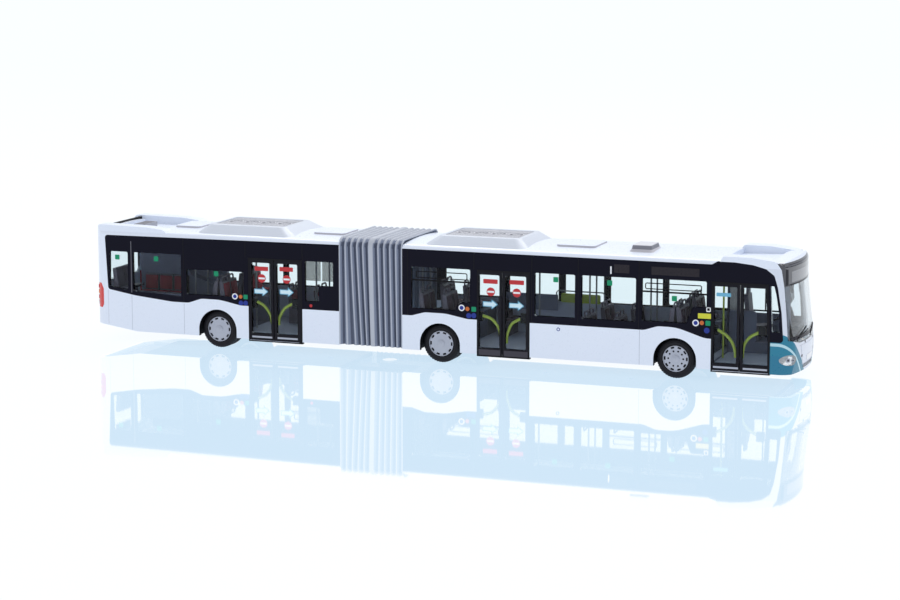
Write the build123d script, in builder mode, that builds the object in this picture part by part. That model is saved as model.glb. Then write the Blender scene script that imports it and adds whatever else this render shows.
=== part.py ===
"""Articulated low-floor city bus, a 1:87 plastic scale model.

Millimetres, +X forward, +Y left, +Z up, origin under the middle of the bus on the ground.
"""

import math
import os

from build123d import *

os.makedirs("parts", exist_ok=True)

# ---------------------------------------------------------------- driving dimensions
X_NOSE, X_TAIL = 105.1, -105.1
HALF_W = 14.65
WALL = 1.2
Z_DOOR = 2.8  # lower edge of the doors
Z_SKIRT = 3.4  # lower edge of the side panels
Z_TAIL_SKIRT = 5.2  # lower edge of the side panels at the tail
Z_EDGE, Z_CROWN, R_EDGE = 33.0, 33.8, 1.6  # roof edge, roof middle, roof edge rounding
Z_BAND = 32.05  # top of the black window band
Z_ROOF = 31.6  # where the end caps meet the roof
X_FRONT_END, X_REAR_END = -7.9, -27.2  # the two car ends at the bellows
X_PIVOT = (X_FRONT_END + X_REAR_END) / 2
R_NOSE, R_NOSE_CORNER, R_TAIL_CORNER = 52.0, 4.5, 3.0
X_MASK = 97.5  # foot of the front door's front edge, where the mask begins
X_TAIL_CAP = -100.9  # rear edge of the rear window band

AXLE_Z, TYRE_R, RIM_R, AXLE_R, BEARING_R = 5.5, 5.5, 3.6, 0.75, 0.80
WHEEL_FACE = 13.55  # outer face of the tyres, from the middle
ARCH_R, WELL_R = 6.0, 6.35
PLATE_LOW, PLATE_TOP, PLATE_HALF = 3.5, 4.6, 13.3  # chassis plate
FLOOR_LOW, FLOOR_TOP, FLOOR_HALF = 4.65, 5.25, 13.2
BOX_TOP = 12.6  # top of the wheel boxes
PIN_R, PIN_BORE_R = 1.25, 1.30

# axle name, position along the bus, tyre width
AXLES = [
    ("front", 71.3, 3.3),
    ("middle", 3.4, 6.4),
    ("rear", -65.4, 6.4),
]

# doors in the right side: name, rear edge, front edge, top, glass of the rear leaf, glass of the front leaf, glass low, glass high,
# lean of the front edge over its height
DOORS = [
    ("front_door", 81.3, 97.5, 27.2, (82.0, 88.3), (90.0, 96.8), 5.2, 26.2, 0.7),
    ("middle_door", 14.4, 29.9, 27.0, (15.0, 21.0), (22.7, 28.8), 5.2, 25.9, 0.0),
    ("rear_door", -55.5, -38.6, 26.9, (-54.5, -48.4), (-46.6, -40.1), 5.2, 25.8, 0.0),
]

# outlines in the side view, X and Z
FRONT_BAND_LOW_RIGHT = [
    (-7.9, 13.2), (-5.0, 13.2), (-1.2, 14.3), (5.0, 14.3), (11.6, 13.1), (62.6, 13.1),
    (66.4, 14.35), (71.6, 14.35), (79.6, 11.8), (101.0, 11.8),
]
FRONT_BAND_TOP = [
    (100.4, 20.0), (99.3, 26.6), (98.3, 29.8), (96.0, 31.5), (92.5, 32.4), (87.5, 32.9), (82.7, 32.9), (81.2, 32.05), (-7.9, 32.05),
]
REAR_BAND_LOW = [
    (-100.9, 15.6), (-92.0, 14.1), (-80.0, 12.9), (-74.7, 12.9), (-70.6, 14.3), (-64.6, 14.3), (-58.0, 13.0), (-27.2, 13.1),
]
REAR_BAND_TOP = [(-27.2, 32.15), (-101.7, 31.65)]
# corners of those outlines that are swept instead of tight
SWEEPS = {
    (-5.0, 13.2): 4.0, (-1.2, 14.3): 4.0, (5.0, 14.3): 14.0, (11.6, 13.1): 8.0,
    (62.6, 13.1): 4.0, (66.4, 14.35): 4.0, (71.6, 14.35): 14.0, (79.6, 11.8): 8.0,
    (-92.0, 14.1): 30.0, (-80.0, 12.9): 20.0, (-74.7, 12.9): 4.0, (-70.6, 14.3): 4.0, (-64.6, 14.3): 14.0, (-58.0, 13.0): 8.0,
}
# edge of the windscreen and display glass behind the front corners, X and Z
SCREEN_EDGE = [(102.1, 12.0), (101.8, 16.8), (101.55, 20.0), (100.95, 26.9)]
DISPLAY_EDGE = [(100.95, 26.9), (100.2, 31.4), (99.0, 33.1)]

# panes: outline and corner radius
FRONT_PANES_RIGHT = [
    ([(-5.2, 15.3), (7.8, 15.3), (9.3, 17.6), (12.4, 17.6), (12.4, 27.1), (-5.2, 27.1)], 0.45),
    ([(31.3, 15.2), (42.9, 15.2), (42.9, 27.2), (31.3, 27.2)], 0.45),
    ([(44.8, 15.2), (60.2, 15.2), (60.2, 27.2), (44.8, 27.2)], 0.45),
    ([(61.9, 15.6), (74.4, 15.6), (76.2, 20.2), (79.9, 20.2), (79.9, 27.3), (61.9, 27.3)], 0.45),
    ([(97.9, 14.6), (100.0, 14.6), (99.7, 20.0), (98.9, 24.8), (98.3, 27.0), (97.4, 27.0)], 0.3),
]
FRONT_PANES_LEFT = [
    ([(-5.2, 15.3), (12.4, 15.3), (12.4, 27.1), (-5.2, 27.1)], 0.45),
    ([(14.4, 15.2), (29.4, 15.2), (29.4, 27.2), (14.4, 27.2)], 0.45),
    ([(31.3, 15.2), (42.9, 15.2), (42.9, 27.2), (31.3, 27.2)], 0.45),
    ([(44.8, 15.2), (60.2, 15.2), (60.2, 27.2), (44.8, 27.2)], 0.45),
    ([(61.9, 15.6), (79.9, 15.6), (79.9, 27.3), (61.9, 27.3)], 0.45),
    ([(82.4, 14.2), (97.0, 13.4), (97.0, 27.3), (82.4, 27.3)], 0.45),
    ([(97.9, 14.6), (100.0, 14.6), (99.7, 20.0), (98.9, 24.8), (98.3, 27.0), (97.4, 27.0)], 0.3),
]
REAR_PANES_RIGHT = [
    ([(-100.4, 16.5), (-94.3, 15.6), (-94.3, 26.9), (-100.2, 26.9)], 0.45),
    ([(-92.6, 15.4), (-77.0, 14.6), (-77.0, 26.9), (-92.6, 26.9)], 0.45),
    ([(-75.3, 15.4), (-57.0, 15.4), (-57.0, 26.9), (-75.3, 26.9)], 0.45),
    ([(-37.7, 15.4), (-33.4, 15.4), (-33.4, 20.0), (-29.0, 20.0), (-29.0, 27.0), (-37.7, 27.0)], 0.45),
]
REAR_PANES_LEFT = REAR_PANES_RIGHT[:3] + [
    ([(-55.4, 15.2), (-39.8, 15.2), (-39.8, 27.0), (-55.4, 27.0)], 0.45),
    ([(-38.0, 15.2), (-29.0, 15.2), (-29.0, 27.0), (-38.0, 27.0)], 0.45),
]

# seats: position of the backrest, side (-1 right, 1 left), foot height, cushion height over the foot, facing (1 forward)
FRONT_SEATS = [
    (-3.0, -1, BOX_TOP, 1.2, 1), (4.0, -1, BOX_TOP, 1.2, 1), (-3.0, 1, BOX_TOP, 1.2, 1), (4.0, 1, BOX_TOP, 1.2, 1),
    (45.2, -1, FLOOR_TOP, 4.6, 1), (54.0, -1, FLOOR_TOP, 4.6, 1), (45.2, 1, FLOOR_TOP, 4.6, 1), (54.0, 1, FLOOR_TOP, 4.6, 1),
    (14.4, 1, FLOOR_TOP, 4.6, 1), (70.4, -1, BOX_TOP, 1.2, -1), (71.6, -1, BOX_TOP, 1.2, 1), (70.4, 1, BOX_TOP, 1.2, -1), (71.6, 1, BOX_TOP, 1.2, 1),
]
REAR_SEATS = [
    (-99.6, -1, 9.2, 6.8, 1),
    (-66.2, -1, BOX_TOP, 1.2, -1), (-65.0, -1, BOX_TOP, 1.2, 1), (-66.2, 1, BOX_TOP, 1.2, -1), (-65.0, 1, BOX_TOP, 1.2, 1),
    (-51.0, 1, FLOOR_TOP, 4.6, 1), (-42.6, 1, FLOOR_TOP, 4.6, 1), (-34.2, 1, FLOOR_TOP, 4.6, 1), (-34.2, -1, FLOOR_TOP, 4.6, 1),
]

# seats at the rear that face the aisle: rear edge of each and its side
SIDE_SEATS, SIDE_SEAT_LONG = [(-99.4, 1), (-94.6, 1), (-89.8, 1), (-92.4, -1), (-87.6, -1), (-82.8, -1)], 4.5

# grab poles: X, Y
FRONT_POLES = [(-6.0, -3.2), (-6.0, 3.2), (30.8, -8.4), (43.8, -3.2), (43.8, 3.2), (61.4, -3.2), (61.4, 3.2), (82.7, -6.4)]
REAR_POLES = [(-77.8, -3.2), (-76.9, 3.2), (-56.6, -6.4), (-56.6, 3.2), (-37.6, -6.4), (-37.6, 3.2), (-28.6, -3.2)]

# bellows hoops: steps from the middle hoop towards the front, thickness
HOOPS = [(k, 1.0 if k == 0 else 0.7) for k in (4, 3, 2, 1, 0, -1, -2, -3, -4)]
HOOP_PITCH = (X_FRONT_END - X_REAR_END) / 10
HOOP_HALF, HOOP_TOP, HOOP_LOW, HOOP_DEPTH, HOOP_R = 14.6, 34.3, 3.7, 1.9, 2.4

# under-floor display screw holes, X of each pair
SCREW_R = 0.85
FRONT_SCREWS, REAR_SCREWS = (30.0, 55.0), (-52.0, -36.0)


# ---------------------------------------------------------------- helpers
def side_region(outline, y_low, y_high, radius=0.0):
    """Prism of a side-view outline between two Y values."""
    with BuildPart() as region:
        with BuildSketch(Plane.XZ.offset(-y_high)):
            with BuildLine():
                if radius:
                    FilletPolyline(*outline, radius=radius, close=True)
                else:
                    Polyline(*outline, close=True)
            make_face()
        extrude(amount=y_high - y_low)
    return region.part


def slab(x0, x1, y0, y1, z0, z1):
    with BuildPart() as block:
        with Locations(((x0 + x1) / 2, (y0 + y1) / 2, (z0 + z1) / 2)):
            Box(x1 - x0, y1 - y0, z1 - z0)
    return block.part


def tube(x0, x1, shrink, z_low):
    """Length of the body cross-section, shrunk by the wall for the inside."""
    half, edge, crown = HALF_W - shrink, Z_EDGE - shrink, Z_CROWN - shrink
    with BuildPart() as length:
        with BuildSketch(Plane.YZ.offset(x0)) as section:
            with BuildLine():
                Polyline((half, edge), (half, z_low), (-half, z_low), (-half, edge))
                ThreePointArc((-half, edge), (0, crown), (half, edge))
            make_face()
            fillet(section.vertices().group_by(Axis.Y)[-1], max(R_EDGE - shrink, 0.4))
        extrude(amount=x1 - x0)
    return length.part


def nose(shrink):
    """Round-fronted block that the front car is cut to: raked front swung about a far axis, rounded corners in plan."""
    half, x_nose = HALF_W - shrink, X_NOSE - shrink
    x_axis = X_NOSE - R_NOSE
    rake = [(x_axis, -1.0), (104.3, -1.0), (X_NOSE, 6.5), (X_NOSE, 10.8), (103.3, 27.0), (103.2, 32.4), (102.1, 33.75), (100.2, 36.5), (x_axis, 36.5)]
    rake = [(x - shrink if x > x_axis else x, z) for x, z in rake]
    x_corner = x_nose - half * half / (2 * R_NOSE)
    with BuildPart() as block:
        with BuildSketch(Plane.XZ):
            with BuildLine():
                FilletPolyline(*rake, radius=[0, 0, 20, 20, 10, 1.5, 3, 0, 0], close=True)
            make_face()
        revolve(axis=Axis((x_axis, 0, 0), (0, 0, 1)))
        add(slab(X_FRONT_END - 3, x_axis + 6, -half - 1, half + 1, -1.5, 37.0))
        with BuildSketch(Plane.XY.offset(-2.0)) as plan:
            with BuildLine():
                Polyline((x_corner, -half), (X_FRONT_END - 2, -half), (X_FRONT_END - 2, half), (x_corner, half))
                ThreePointArc((x_corner, half), (x_nose, 0), (x_corner, -half))
            make_face()
            fillet(plan.vertices().group_by(Axis.X)[-1], R_NOSE_CORNER - shrink)
        extrude(amount=40, mode=Mode.INTERSECT)
    return block.part


def tail(shrink):
    """Block that the rear car is cut to: upright rear wall with rounded corners and a rounded top edge."""
    half, x_tail = HALF_W - shrink, X_TAIL + shrink
    rear = [(X_REAR_END + 2, -1.0), (X_REAR_END + 2, 38.0), (x_tail + 6.1, 38.0), (x_tail, 33.6), (x_tail, -1.0)]
    with BuildPart() as block:
        with BuildSketch(Plane.XY.offset(-2.0)) as plan:
            with BuildLine():
                Polyline((x_tail, -half), (X_REAR_END + 2, -half), (X_REAR_END + 2, half), (x_tail, half), close=True)
            make_face()
            fillet(plan.vertices().group_by(Axis.X)[0], R_TAIL_CORNER - shrink)
        extrude(amount=42)
        with BuildSketch(Plane.XZ.offset(-20)):
            with BuildLine():
                FilletPolyline(*rear, radius=[0, 0, 0, 2.4, 0], close=True)
            make_face()
        extrude(amount=40, mode=Mode.INTERSECT)
    return block.part


def band_region(low, top, sign):
    """Outline of a window band, on the right (-1) or the left (1)."""
    y_low, y_high = (-16.0, -12.6) if sign < 0 else (12.6, 16.0)
    outline = low + top
    return side_region(outline, y_low, y_high, [0.0 if x in (X_FRONT_END, X_REAR_END) else SWEEPS.get((x, z), 0.9) for x, z in outline])


def pane_regions(table, sign):
    y_low, y_high = (-16.0, -8.0) if sign < 0 else (8.0, 16.0)
    return [side_region(outline, y_low, y_high, radius) for outline, radius in table]


def door_regions(name):
    """Whole door, its two panes and the slot between its leaves."""
    label, x0, x1, top, rear_glass, front_glass, low, high, lean = next(d for d in DOORS if d[0] == name)
    whole = side_region([(x0, 0), (x1, 0), (x1, 12.0), (x1 - lean, top), (x0, top)], -16, -8)
    panes = [
        side_region([(a, low), (b, low), (b, 12.0), (b - slant, high), (a, high)], -16, -8, [0.4, 0.4, 0.0, 0.4, 0.4])
        for (a, b), slant in ((rear_glass, 0.0), (front_glass, lean))
    ]
    middle = (rear_glass[1] + front_glass[0]) / 2
    slot = side_region([(middle - 0.12, 0), (middle + 0.12, 0), (middle + 0.12, top + 1), (middle - 0.12, top + 1)], -16, -8)
    return whole, panes, slot


def arch_regions(axles):
    """Wheel arch openings through both sides, round above and straight below the axle."""
    regions = []
    for x in axles:
        with BuildPart() as arch:
            with BuildSketch(Plane.XZ.offset(-16)):
                with Locations((x, AXLE_Z - 0.1)):
                    Circle(ARCH_R)
                with Locations((x, AXLE_Z / 2 - 1.05)):
                    Rectangle(2 * ARCH_R, AXLE_Z + 1.9)
            extrude(amount=32)
        regions.append(arch.part)
    return regions


def seat(x, side, foot, rise, facing):
    """Pair of seats beside each other, one solid each."""
    outline = [
        (0.1, 0), (2.9, 0), (2.9, rise - 1.0), (5.0, rise - 0.5), (5.0, rise + 0.2), (1.5, rise), (0.7, rise + 5.6), (-0.4, rise + 5.6), (0.1, rise - 0.6),
    ]
    outline = [(x + facing * u, foot + v) for u, v in outline]
    pair = []
    for inner, outer in ((3.8, 8.3), (8.6, 13.1)):
        low, high = sorted((side * inner, side * outer))
        pair.append(side_region(outline, low, high))
    return pair


def side_seat(x, side):
    """One seat that faces the aisle, with its back to the engine housing on the left or to the wall on the right."""
    away, top = (0.0, 17.4) if side > 0 else (5.2, 15.2)
    outline = [(7.2, 9.2), (5.0, 9.2), (5.0, 11.4), (3.1, 11.8), (3.1, 12.6), (6.2, 12.4), (6.5, top), (7.45, top), (7.4, 12.0)]
    with BuildPart() as one:
        with BuildSketch(Plane.YZ.offset(x)):
            with BuildLine():
                Polyline(*[(side * (y + away), z) for y, z in outline], close=True)
            make_face()
        extrude(amount=SIDE_SEAT_LONG)
    return one.part


def wheel_boxes(axles):
    """Boxes over the wheels with the bearing wall on the inside: outer block, wheel space and bearing bore."""
    blocks, spaces, bores = [], [], []
    for name, x, width in AXLES:
        if name not in axles:
            continue
        inside = WHEEL_FACE - width - 0.5
        for side in (-1, 1):
            low, high = sorted((side * (inside - 1.4), side * PLATE_HALF))
            blocks.append(slab(x - 7.2, x + 7.2, low, high, PLATE_LOW, BOX_TOP))
            low, high = sorted((side * inside, side * 16))
            with BuildPart() as space:
                with BuildSketch(Plane.XZ.offset(-high)):
                    with Locations((x, AXLE_Z)):
                        Circle(WELL_R)
                    with Locations((x, AXLE_Z / 2 - 1)):
                        Rectangle(2 * WELL_R, AXLE_Z + 2)
                extrude(amount=high - low)
            spaces.append(space.part)
        with BuildPart() as bore:
            with BuildSketch(Plane.XZ.offset(-14)):
                with Locations((x, AXLE_Z)):
                    Circle(BEARING_R)
            extrude(amount=28)
        bores.append(bore.part)
    return blocks, spaces, bores


def well_cuts(axles):
    """Holes in a floor for the wheel boxes, with a little air."""
    cuts = []
    for name, x, width in AXLES:
        if name in axles:
            inside = WHEEL_FACE - width - 0.5 - 1.4 - 0.1
            for side in (-1, 1):
                low, high = sorted((side * inside, side * 16))
                cuts.append(slab(x - 7.3, x + 7.3, low, high, 0, 20))
    return cuts


def axle_humps(axles):
    """Raised strip of floor over each axle, and the channel under it."""
    humps, channels = [], []
    for name, x, width in AXLES:
        if name in axles:
            inside = WHEEL_FACE - width - 0.5 - 1.4 - 0.1
            humps.append(slab(x - 1.9, x + 1.9, -inside, inside, FLOOR_LOW, 7.2))
            channels.append(slab(x - 1.2, x + 1.2, -inside - 1, inside + 1, 0, 6.6))
    return humps, channels


def roof_unit(x0, x1, foot_x0, foot_x1):
    """Tapered air-conditioning housing with a recess for its grille, cut to sit on the roof."""
    xm = (x0 + x1) / 2
    with BuildPart() as unit:
        with BuildSketch(Plane.XY.offset(32.6)):
            with Locations(((foot_x0 + foot_x1) / 2, 0)):
                RectangleRounded(foot_x1 - foot_x0, 27.2, 3.0)
        with BuildSketch(Plane.XY.offset(35.6)):
            with Locations((xm, 0)):
                RectangleRounded(x1 - x0, 19.0, 1.8)
        loft(ruled=True)
        fillet(unit.faces().sort_by(Axis.Z)[-1].edges(), 0.5)
        add(tube(foot_x0 - 1, foot_x1 + 1, 0.0, Z_DOOR), mode=Mode.SUBTRACT)
        with BuildSketch(Plane.XY.offset(35.0)):
            with Locations((xm, 0)):
                RectangleRounded(x1 - x0 - 2.2, 15.2, 1.0)
        extrude(amount=2, mode=Mode.SUBTRACT)
    return unit.part


def unit_grille(x0, x1, foot_x0, foot_x1):
    """Plate in the roof unit with round fan wells."""
    xm, length = (x0 + x1) / 2, x1 - x0 - 2.2
    with BuildPart() as plate:
        with BuildSketch(Plane.XY.offset(35.0)):
            with Locations((xm, 0)):
                RectangleRounded(length - 0.1, 15.1, 0.95)
        extrude(amount=0.45)
        with BuildSketch(Plane.XY.offset(35.2)):
            with Locations([(xm + length * (i - 1.5) / 4.2, 0) for i in range(4)]):
                Circle(2.35)
        extrude(amount=1, mode=Mode.SUBTRACT)
    return plate.part


def finish(name, part):
    part.label = name
    export_step(part, "parts/" + name + ".step")


# ---------------------------------------------------------------- front car shell
with BuildPart() as front_outer:
    add(tube(X_FRONT_END, X_NOSE + 1, 0.0, Z_DOOR))
    for y_low, y_high in ((-HALF_W, -9.6), (9.6, HALF_W)):
        add(side_region(
            [(83.3, 31.0), (83.4, 33.0), (84.3, 34.35), (92.0, 34.3), (98.4, 33.55), (101.2, 32.3), (103.5, 31.0)],
            y_low, y_high, [0, 0.5, 0.8, 12, 6, 4, 0],
        ))
    add(nose(0.0), mode=Mode.INTERSECT)

with BuildPart() as front_shell:
    add(front_outer.part)
    add(tube(X_FRONT_END - 1, X_NOSE + 1, WALL, Z_DOOR - 3) & nose(WALL), mode=Mode.SUBTRACT)

front_band_right = band_region(FRONT_BAND_LOW_RIGHT, FRONT_BAND_TOP, -1)
front_band_left = band_region(FRONT_BAND_LOW_RIGHT, FRONT_BAND_TOP, 1)
front_panes = pane_regions(FRONT_PANES_RIGHT, -1) + pane_regions(FRONT_PANES_LEFT, 1)
front_whole, front_leaves, front_slot = door_regions("front_door")
middle_whole, middle_leaves, middle_slot = door_regions("middle_door")

# regions seen from the front: windscreen and display glass
with BuildPart() as screen_region:
    with BuildSketch(Plane.YZ.offset(95.0)):
        with BuildLine():
            FilletPolyline((-15.5, 12.7), (-9.0, 11.2), (9.0, 11.2), (15.5, 12.7), (15.5, 26.9), (-15.5, 26.9), radius=[0, 8, 8, 0, 0, 0], close=True)
        make_face()
    extrude(amount=14)
    add(side_region([(102.2, 9.0)] + SCREEN_EDGE + [(109.5, 26.9), (109.5, 9.0)], -16, 16), mode=Mode.INTERSECT)

with BuildPart() as display_region:
    with BuildSketch(Plane.YZ.offset(98.6)):
        with BuildLine():
            Polyline((-15.5, 26.9), (15.5, 26.9), (15.5, 33.1), (-15.5, 33.1), close=True)
        make_face()
    extrude(amount=14)
    add(side_region(DISPLAY_EDGE + [(113.0, 33.1), (113.0, 26.9)], -16, 16), mode=Mode.INTERSECT)

# headlamps: ovals looking out through the rounded corners
lamp_regions = []
for side in (-1, 1):
    lamp_plane = Plane(origin=(98.45, side * 10.9, 7.0), x_dir=(-side * 0.5, 0.866, 0), z_dir=(0.866, side * 0.5, 0))
    with BuildPart() as lamp_region:
        with BuildSketch(lamp_plane):
            Ellipse(2.5, 1.45)
        extrude(amount=10)
    lamp_regions.append(lamp_region.part)

with BuildPart() as front_window_bands:
    add(front_shell.part)
    add([front_band_right, front_band_left], mode=Mode.INTERSECT)
    add(front_panes + [front_whole, middle_whole], mode=Mode.SUBTRACT)
finish("front_window_bands", front_window_bands.part)

with BuildPart() as front_window_panes:
    add(front_shell.part)
    add(front_panes + front_leaves + middle_leaves, mode=Mode.INTERSECT)
finish("front_window_panes", front_window_panes.part)

with BuildPart() as front_door:
    add(front_shell.part)
    add(front_whole, mode=Mode.INTERSECT)
    add(front_leaves + [front_slot], mode=Mode.SUBTRACT)
finish("front_door", front_door.part)

with BuildPart() as middle_door:
    add(front_shell.part)
    add(middle_whole, mode=Mode.INTERSECT)
    add(middle_leaves + [middle_slot], mode=Mode.SUBTRACT)
finish("middle_door", middle_door.part)

with BuildPart() as windscreen:
    add(front_shell.part)
    add(screen_region.part, mode=Mode.INTERSECT)
finish("windscreen", windscreen.part)

with BuildPart() as destination_display:
    add(front_shell.part)
    add(display_region.part, mode=Mode.INTERSECT)
finish("destination_display", destination_display.part)

with BuildPart() as headlamps:
    add(front_shell.part)
    add(lamp_regions, mode=Mode.INTERSECT)
finish("headlamps", headlamps.part)

with BuildPart() as mask_region:
    add(slab(X_MASK, 110, -16, 16, 3.1, Z_ROOF))
    add(slab(95.0, X_MASK + 0.5, -16, 16, 29.0, Z_ROOF))

with BuildPart() as front_mask:
    add(front_shell.part)
    add(mask_region.part, mode=Mode.INTERSECT)
    add([front_band_right, front_band_left, screen_region.part, display_region.part] + lamp_regions, mode=Mode.SUBTRACT)
finish("front_mask", front_mask.part)

with BuildPart() as front_roof:
    add(front_shell.part)
    add(slab(X_FRONT_END, 110, -16, 16, Z_ROOF, 40), mode=Mode.INTERSECT)
    add([front_band_right, front_band_left, display_region.part], mode=Mode.SUBTRACT)
    with BuildSketch(Plane.XY.offset(33.0)):
        with Locations((40.4, 0)):
            RectangleRounded(11.2, 12.6, 1.2)
    extrude(amount=1.2)
    # sunken deck between the fairings
    add(slab(83.4, 98.3, -10.2, 10.2, 31.4, 33.0))
    add(side_region([(84.4, 32.1), (97.6, 32.5), (97.6, 36.0), (84.4, 36.0)], -9.6, 9.6), mode=Mode.SUBTRACT)
finish("front_roof", front_roof.part)

with BuildPart() as front_side_panels:
    add(front_shell.part)
    add(slab(X_FRONT_END, X_MASK, -16, 16, Z_SKIRT, 20), mode=Mode.INTERSECT)
    add([front_band_right, front_band_left, front_whole, middle_whole] + arch_regions([71.3, 3.4]), mode=Mode.SUBTRACT)
finish("front_side_panels", front_side_panels.part)

# ---------------------------------------------------------------- rear car shell
with BuildPart() as rear_outer:
    add(tube(X_TAIL - 1, X_REAR_END, 0.0, Z_DOOR))
    for y_low, y_high in ((-14.2, -9.8), (9.8, 14.2)):
        add(side_region(
            [(-105.5, 31.0), (-105.5, 34.45), (-102.6, 34.6), (-88.0, 34.35), (-82.4, 33.7), (-81.2, 31.0)],
            y_low, y_high, [0, 0, 2, 20, 1.5, 0],
        ))
    add(tail(0.0), mode=Mode.INTERSECT)

with BuildPart() as rear_shell:
    add(rear_outer.part)
    add(tube(X_TAIL - 1, X_REAR_END + 1, WALL, Z_DOOR - 3) & tail(WALL), mode=Mode.SUBTRACT)

rear_band_right = band_region(REAR_BAND_LOW, REAR_BAND_TOP, -1)
rear_band_left = band_region(REAR_BAND_LOW, REAR_BAND_TOP, 1)
rear_panes = pane_regions(REAR_PANES_RIGHT, -1) + pane_regions(REAR_PANES_LEFT, 1)
rear_whole, rear_leaves, rear_slot = door_regions("rear_door")

with BuildPart() as rear_screen_region:
    with BuildSketch(Plane.YZ.offset(-110.0)):
        with Locations((0, 23.4)):
            RectangleRounded(23.0, 12.6, 1.6)
    extrude(amount=8)

# tail lamps wrap the rear corners
tail_lamp_regions = [
    side_region([(-107, 10.0), (-102.9, 10.0), (-102.4, 11.0), (-102.4, 15.6), (-103.2, 17.3), (-107, 17.3)], low, high)
    for low, high in ((-16.0, -11.6), (11.6, 16.0))
]

with BuildPart() as rear_window_bands:
    add(rear_shell.part)
    add([rear_band_right, rear_band_left], mode=Mode.INTERSECT)
    add(rear_panes + [rear_whole], mode=Mode.SUBTRACT)
finish("rear_window_bands", rear_window_bands.part)

with BuildPart() as rear_window_panes:
    add(rear_shell.part)
    add(rear_panes + rear_leaves, mode=Mode.INTERSECT)
finish("rear_window_panes", rear_window_panes.part)

with BuildPart() as rear_door:
    add(rear_shell.part)
    add(rear_whole, mode=Mode.INTERSECT)
    add(rear_leaves + [rear_slot], mode=Mode.SUBTRACT)
finish("rear_door", rear_door.part)

with BuildPart() as rear_screen:
    add(rear_shell.part)
    add(rear_screen_region.part, mode=Mode.INTERSECT)
finish("rear_screen", rear_screen.part)

with BuildPart() as tail_lamps:
    add(rear_shell.part)
    add(tail_lamp_regions, mode=Mode.INTERSECT)
finish("tail_lamps", tail_lamps.part)

tail_rise = side_region([(-110, 0), (-86, 0), (-86, Z_SKIRT), (-91.5, Z_SKIRT), (-103.6, Z_TAIL_SKIRT), (-110, Z_TAIL_SKIRT)], -16, 16)

with BuildPart() as rear_wall:
    add(rear_shell.part)
    add(slab(-110, X_TAIL_CAP, -16, 16, Z_SKIRT, Z_ROOF), mode=Mode.INTERSECT)
    add([rear_band_right, rear_band_left, rear_screen_region.part, tail_rise] + tail_lamp_regions, mode=Mode.SUBTRACT)
finish("rear_wall", rear_wall.part)

with BuildPart() as rear_roof:
    add(rear_shell.part)
    add(slab(-110, X_REAR_END, -16, 16, Z_ROOF, 40), mode=Mode.INTERSECT)
    add([rear_band_right, rear_band_left], mode=Mode.SUBTRACT)
    with BuildSketch(Plane.XY.offset(33.0)):
        with Locations((-34.0, 0)):
            RectangleRounded(9.6, 11.6, 1.2)
        with Locations((-79.0, 0)):
            RectangleRounded(8.0, 11.6, 1.2)
    extrude(amount=1.2)
    # sunken deck between the fairings
    add(slab(-101.2, -83.4, -10.4, 10.4, 31.4, 33.0))
    add(slab(-100.6, -84.0, -9.8, 9.8, 32.2, 36.0), mode=Mode.SUBTRACT)
finish("rear_roof", rear_roof.part)

with BuildPart() as rear_side_panels:
    add(rear_shell.part)
    add(slab(X_TAIL_CAP, X_REAR_END, -16, 16, Z_SKIRT, 20), mode=Mode.INTERSECT)
    add([rear_band_right, rear_band_left, rear_whole, tail_rise] + arch_regions([-65.4]), mode=Mode.SUBTRACT)
finish("rear_side_panels", rear_side_panels.part)

# ---------------------------------------------------------------- chassis, drawbars and pivot
blocks, spaces, bores = wheel_boxes(("front", "middle"))
with BuildPart() as front_chassis:
    add(slab(-6.6, 98.0, -PLATE_HALF, PLATE_HALF, PLATE_LOW, PLATE_TOP))
    add(blocks)
    with BuildSketch(Plane.XY.offset(PLATE_LOW)):
        with Locations((X_PIVOT, 0)):
            Circle(3.0)
        with Locations(((X_PIVOT - 6.0) / 2, 0)):
            Rectangle(-6.0 - X_PIVOT, 6.0)
    extrude(amount=PLATE_TOP - PLATE_LOW)
    add(spaces + bores, mode=Mode.SUBTRACT)
    with BuildSketch(Plane.XY.offset(PLATE_LOW - 1)):
        with Locations((X_PIVOT, 0)):
            Circle(PIN_BORE_R)
        with Locations([(x, 0) for x in FRONT_SCREWS]):
            Circle(SCREW_R)
    extrude(amount=3, mode=Mode.SUBTRACT)
finish("front_chassis", front_chassis.part)

blocks, spaces, bores = wheel_boxes(("rear",))
with BuildPart() as rear_chassis:
    add(side_region([(-28.4, 3.5), (-28.4, 4.6), (-80.0, 4.6), (-102.6, 5.8), (-102.6, 4.75), (-82.0, 3.5)], -PLATE_HALF, PLATE_HALF))
    add(blocks)
    add(slab(-31.0, -28.4, -3.0, 3.0, PLATE_TOP, 5.85))
    with BuildSketch(Plane.XY.offset(4.75)):
        with Locations((X_PIVOT, 0)):
            Circle(3.0)
        with Locations(((X_PIVOT - 31.0) / 2, 0)):
            Rectangle(X_PIVOT + 31.0, 6.0)
    extrude(amount=1.1)
    add(spaces + bores, mode=Mode.SUBTRACT)
    with BuildSketch(Plane.XY.offset(PLATE_LOW - 1)):
        with Locations((X_PIVOT, 0)):
            Circle(PIN_R)
    extrude(amount=5, mode=Mode.SUBTRACT)
    with BuildSketch(Plane.XY.offset(PLATE_LOW - 1)):
        with Locations([(x, 0) for x in REAR_SCREWS]):
            Circle(SCREW_R)
    extrude(amount=3, mode=Mode.SUBTRACT)
    # nothing of the plate edge is left inside the tail corners
    add(tail(WALL + 0.15), mode=Mode.INTERSECT)
    add(slab(-110, -92.5, -16, 16, 0, 20), mode=Mode.SUBTRACT)
    with BuildSketch(Plane.XY.offset(4.75)):
        with Locations((X_PIVOT, 0)):
            Circle(3.0)
        with Locations(((X_PIVOT - 31.0) / 2, 0)):
            Rectangle(X_PIVOT + 31.0, 6.0)
        with Locations((X_PIVOT, 0)):
            Circle(PIN_R, mode=Mode.SUBTRACT)
    extrude(amount=1.1)
finish("rear_chassis", rear_chassis.part)

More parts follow.
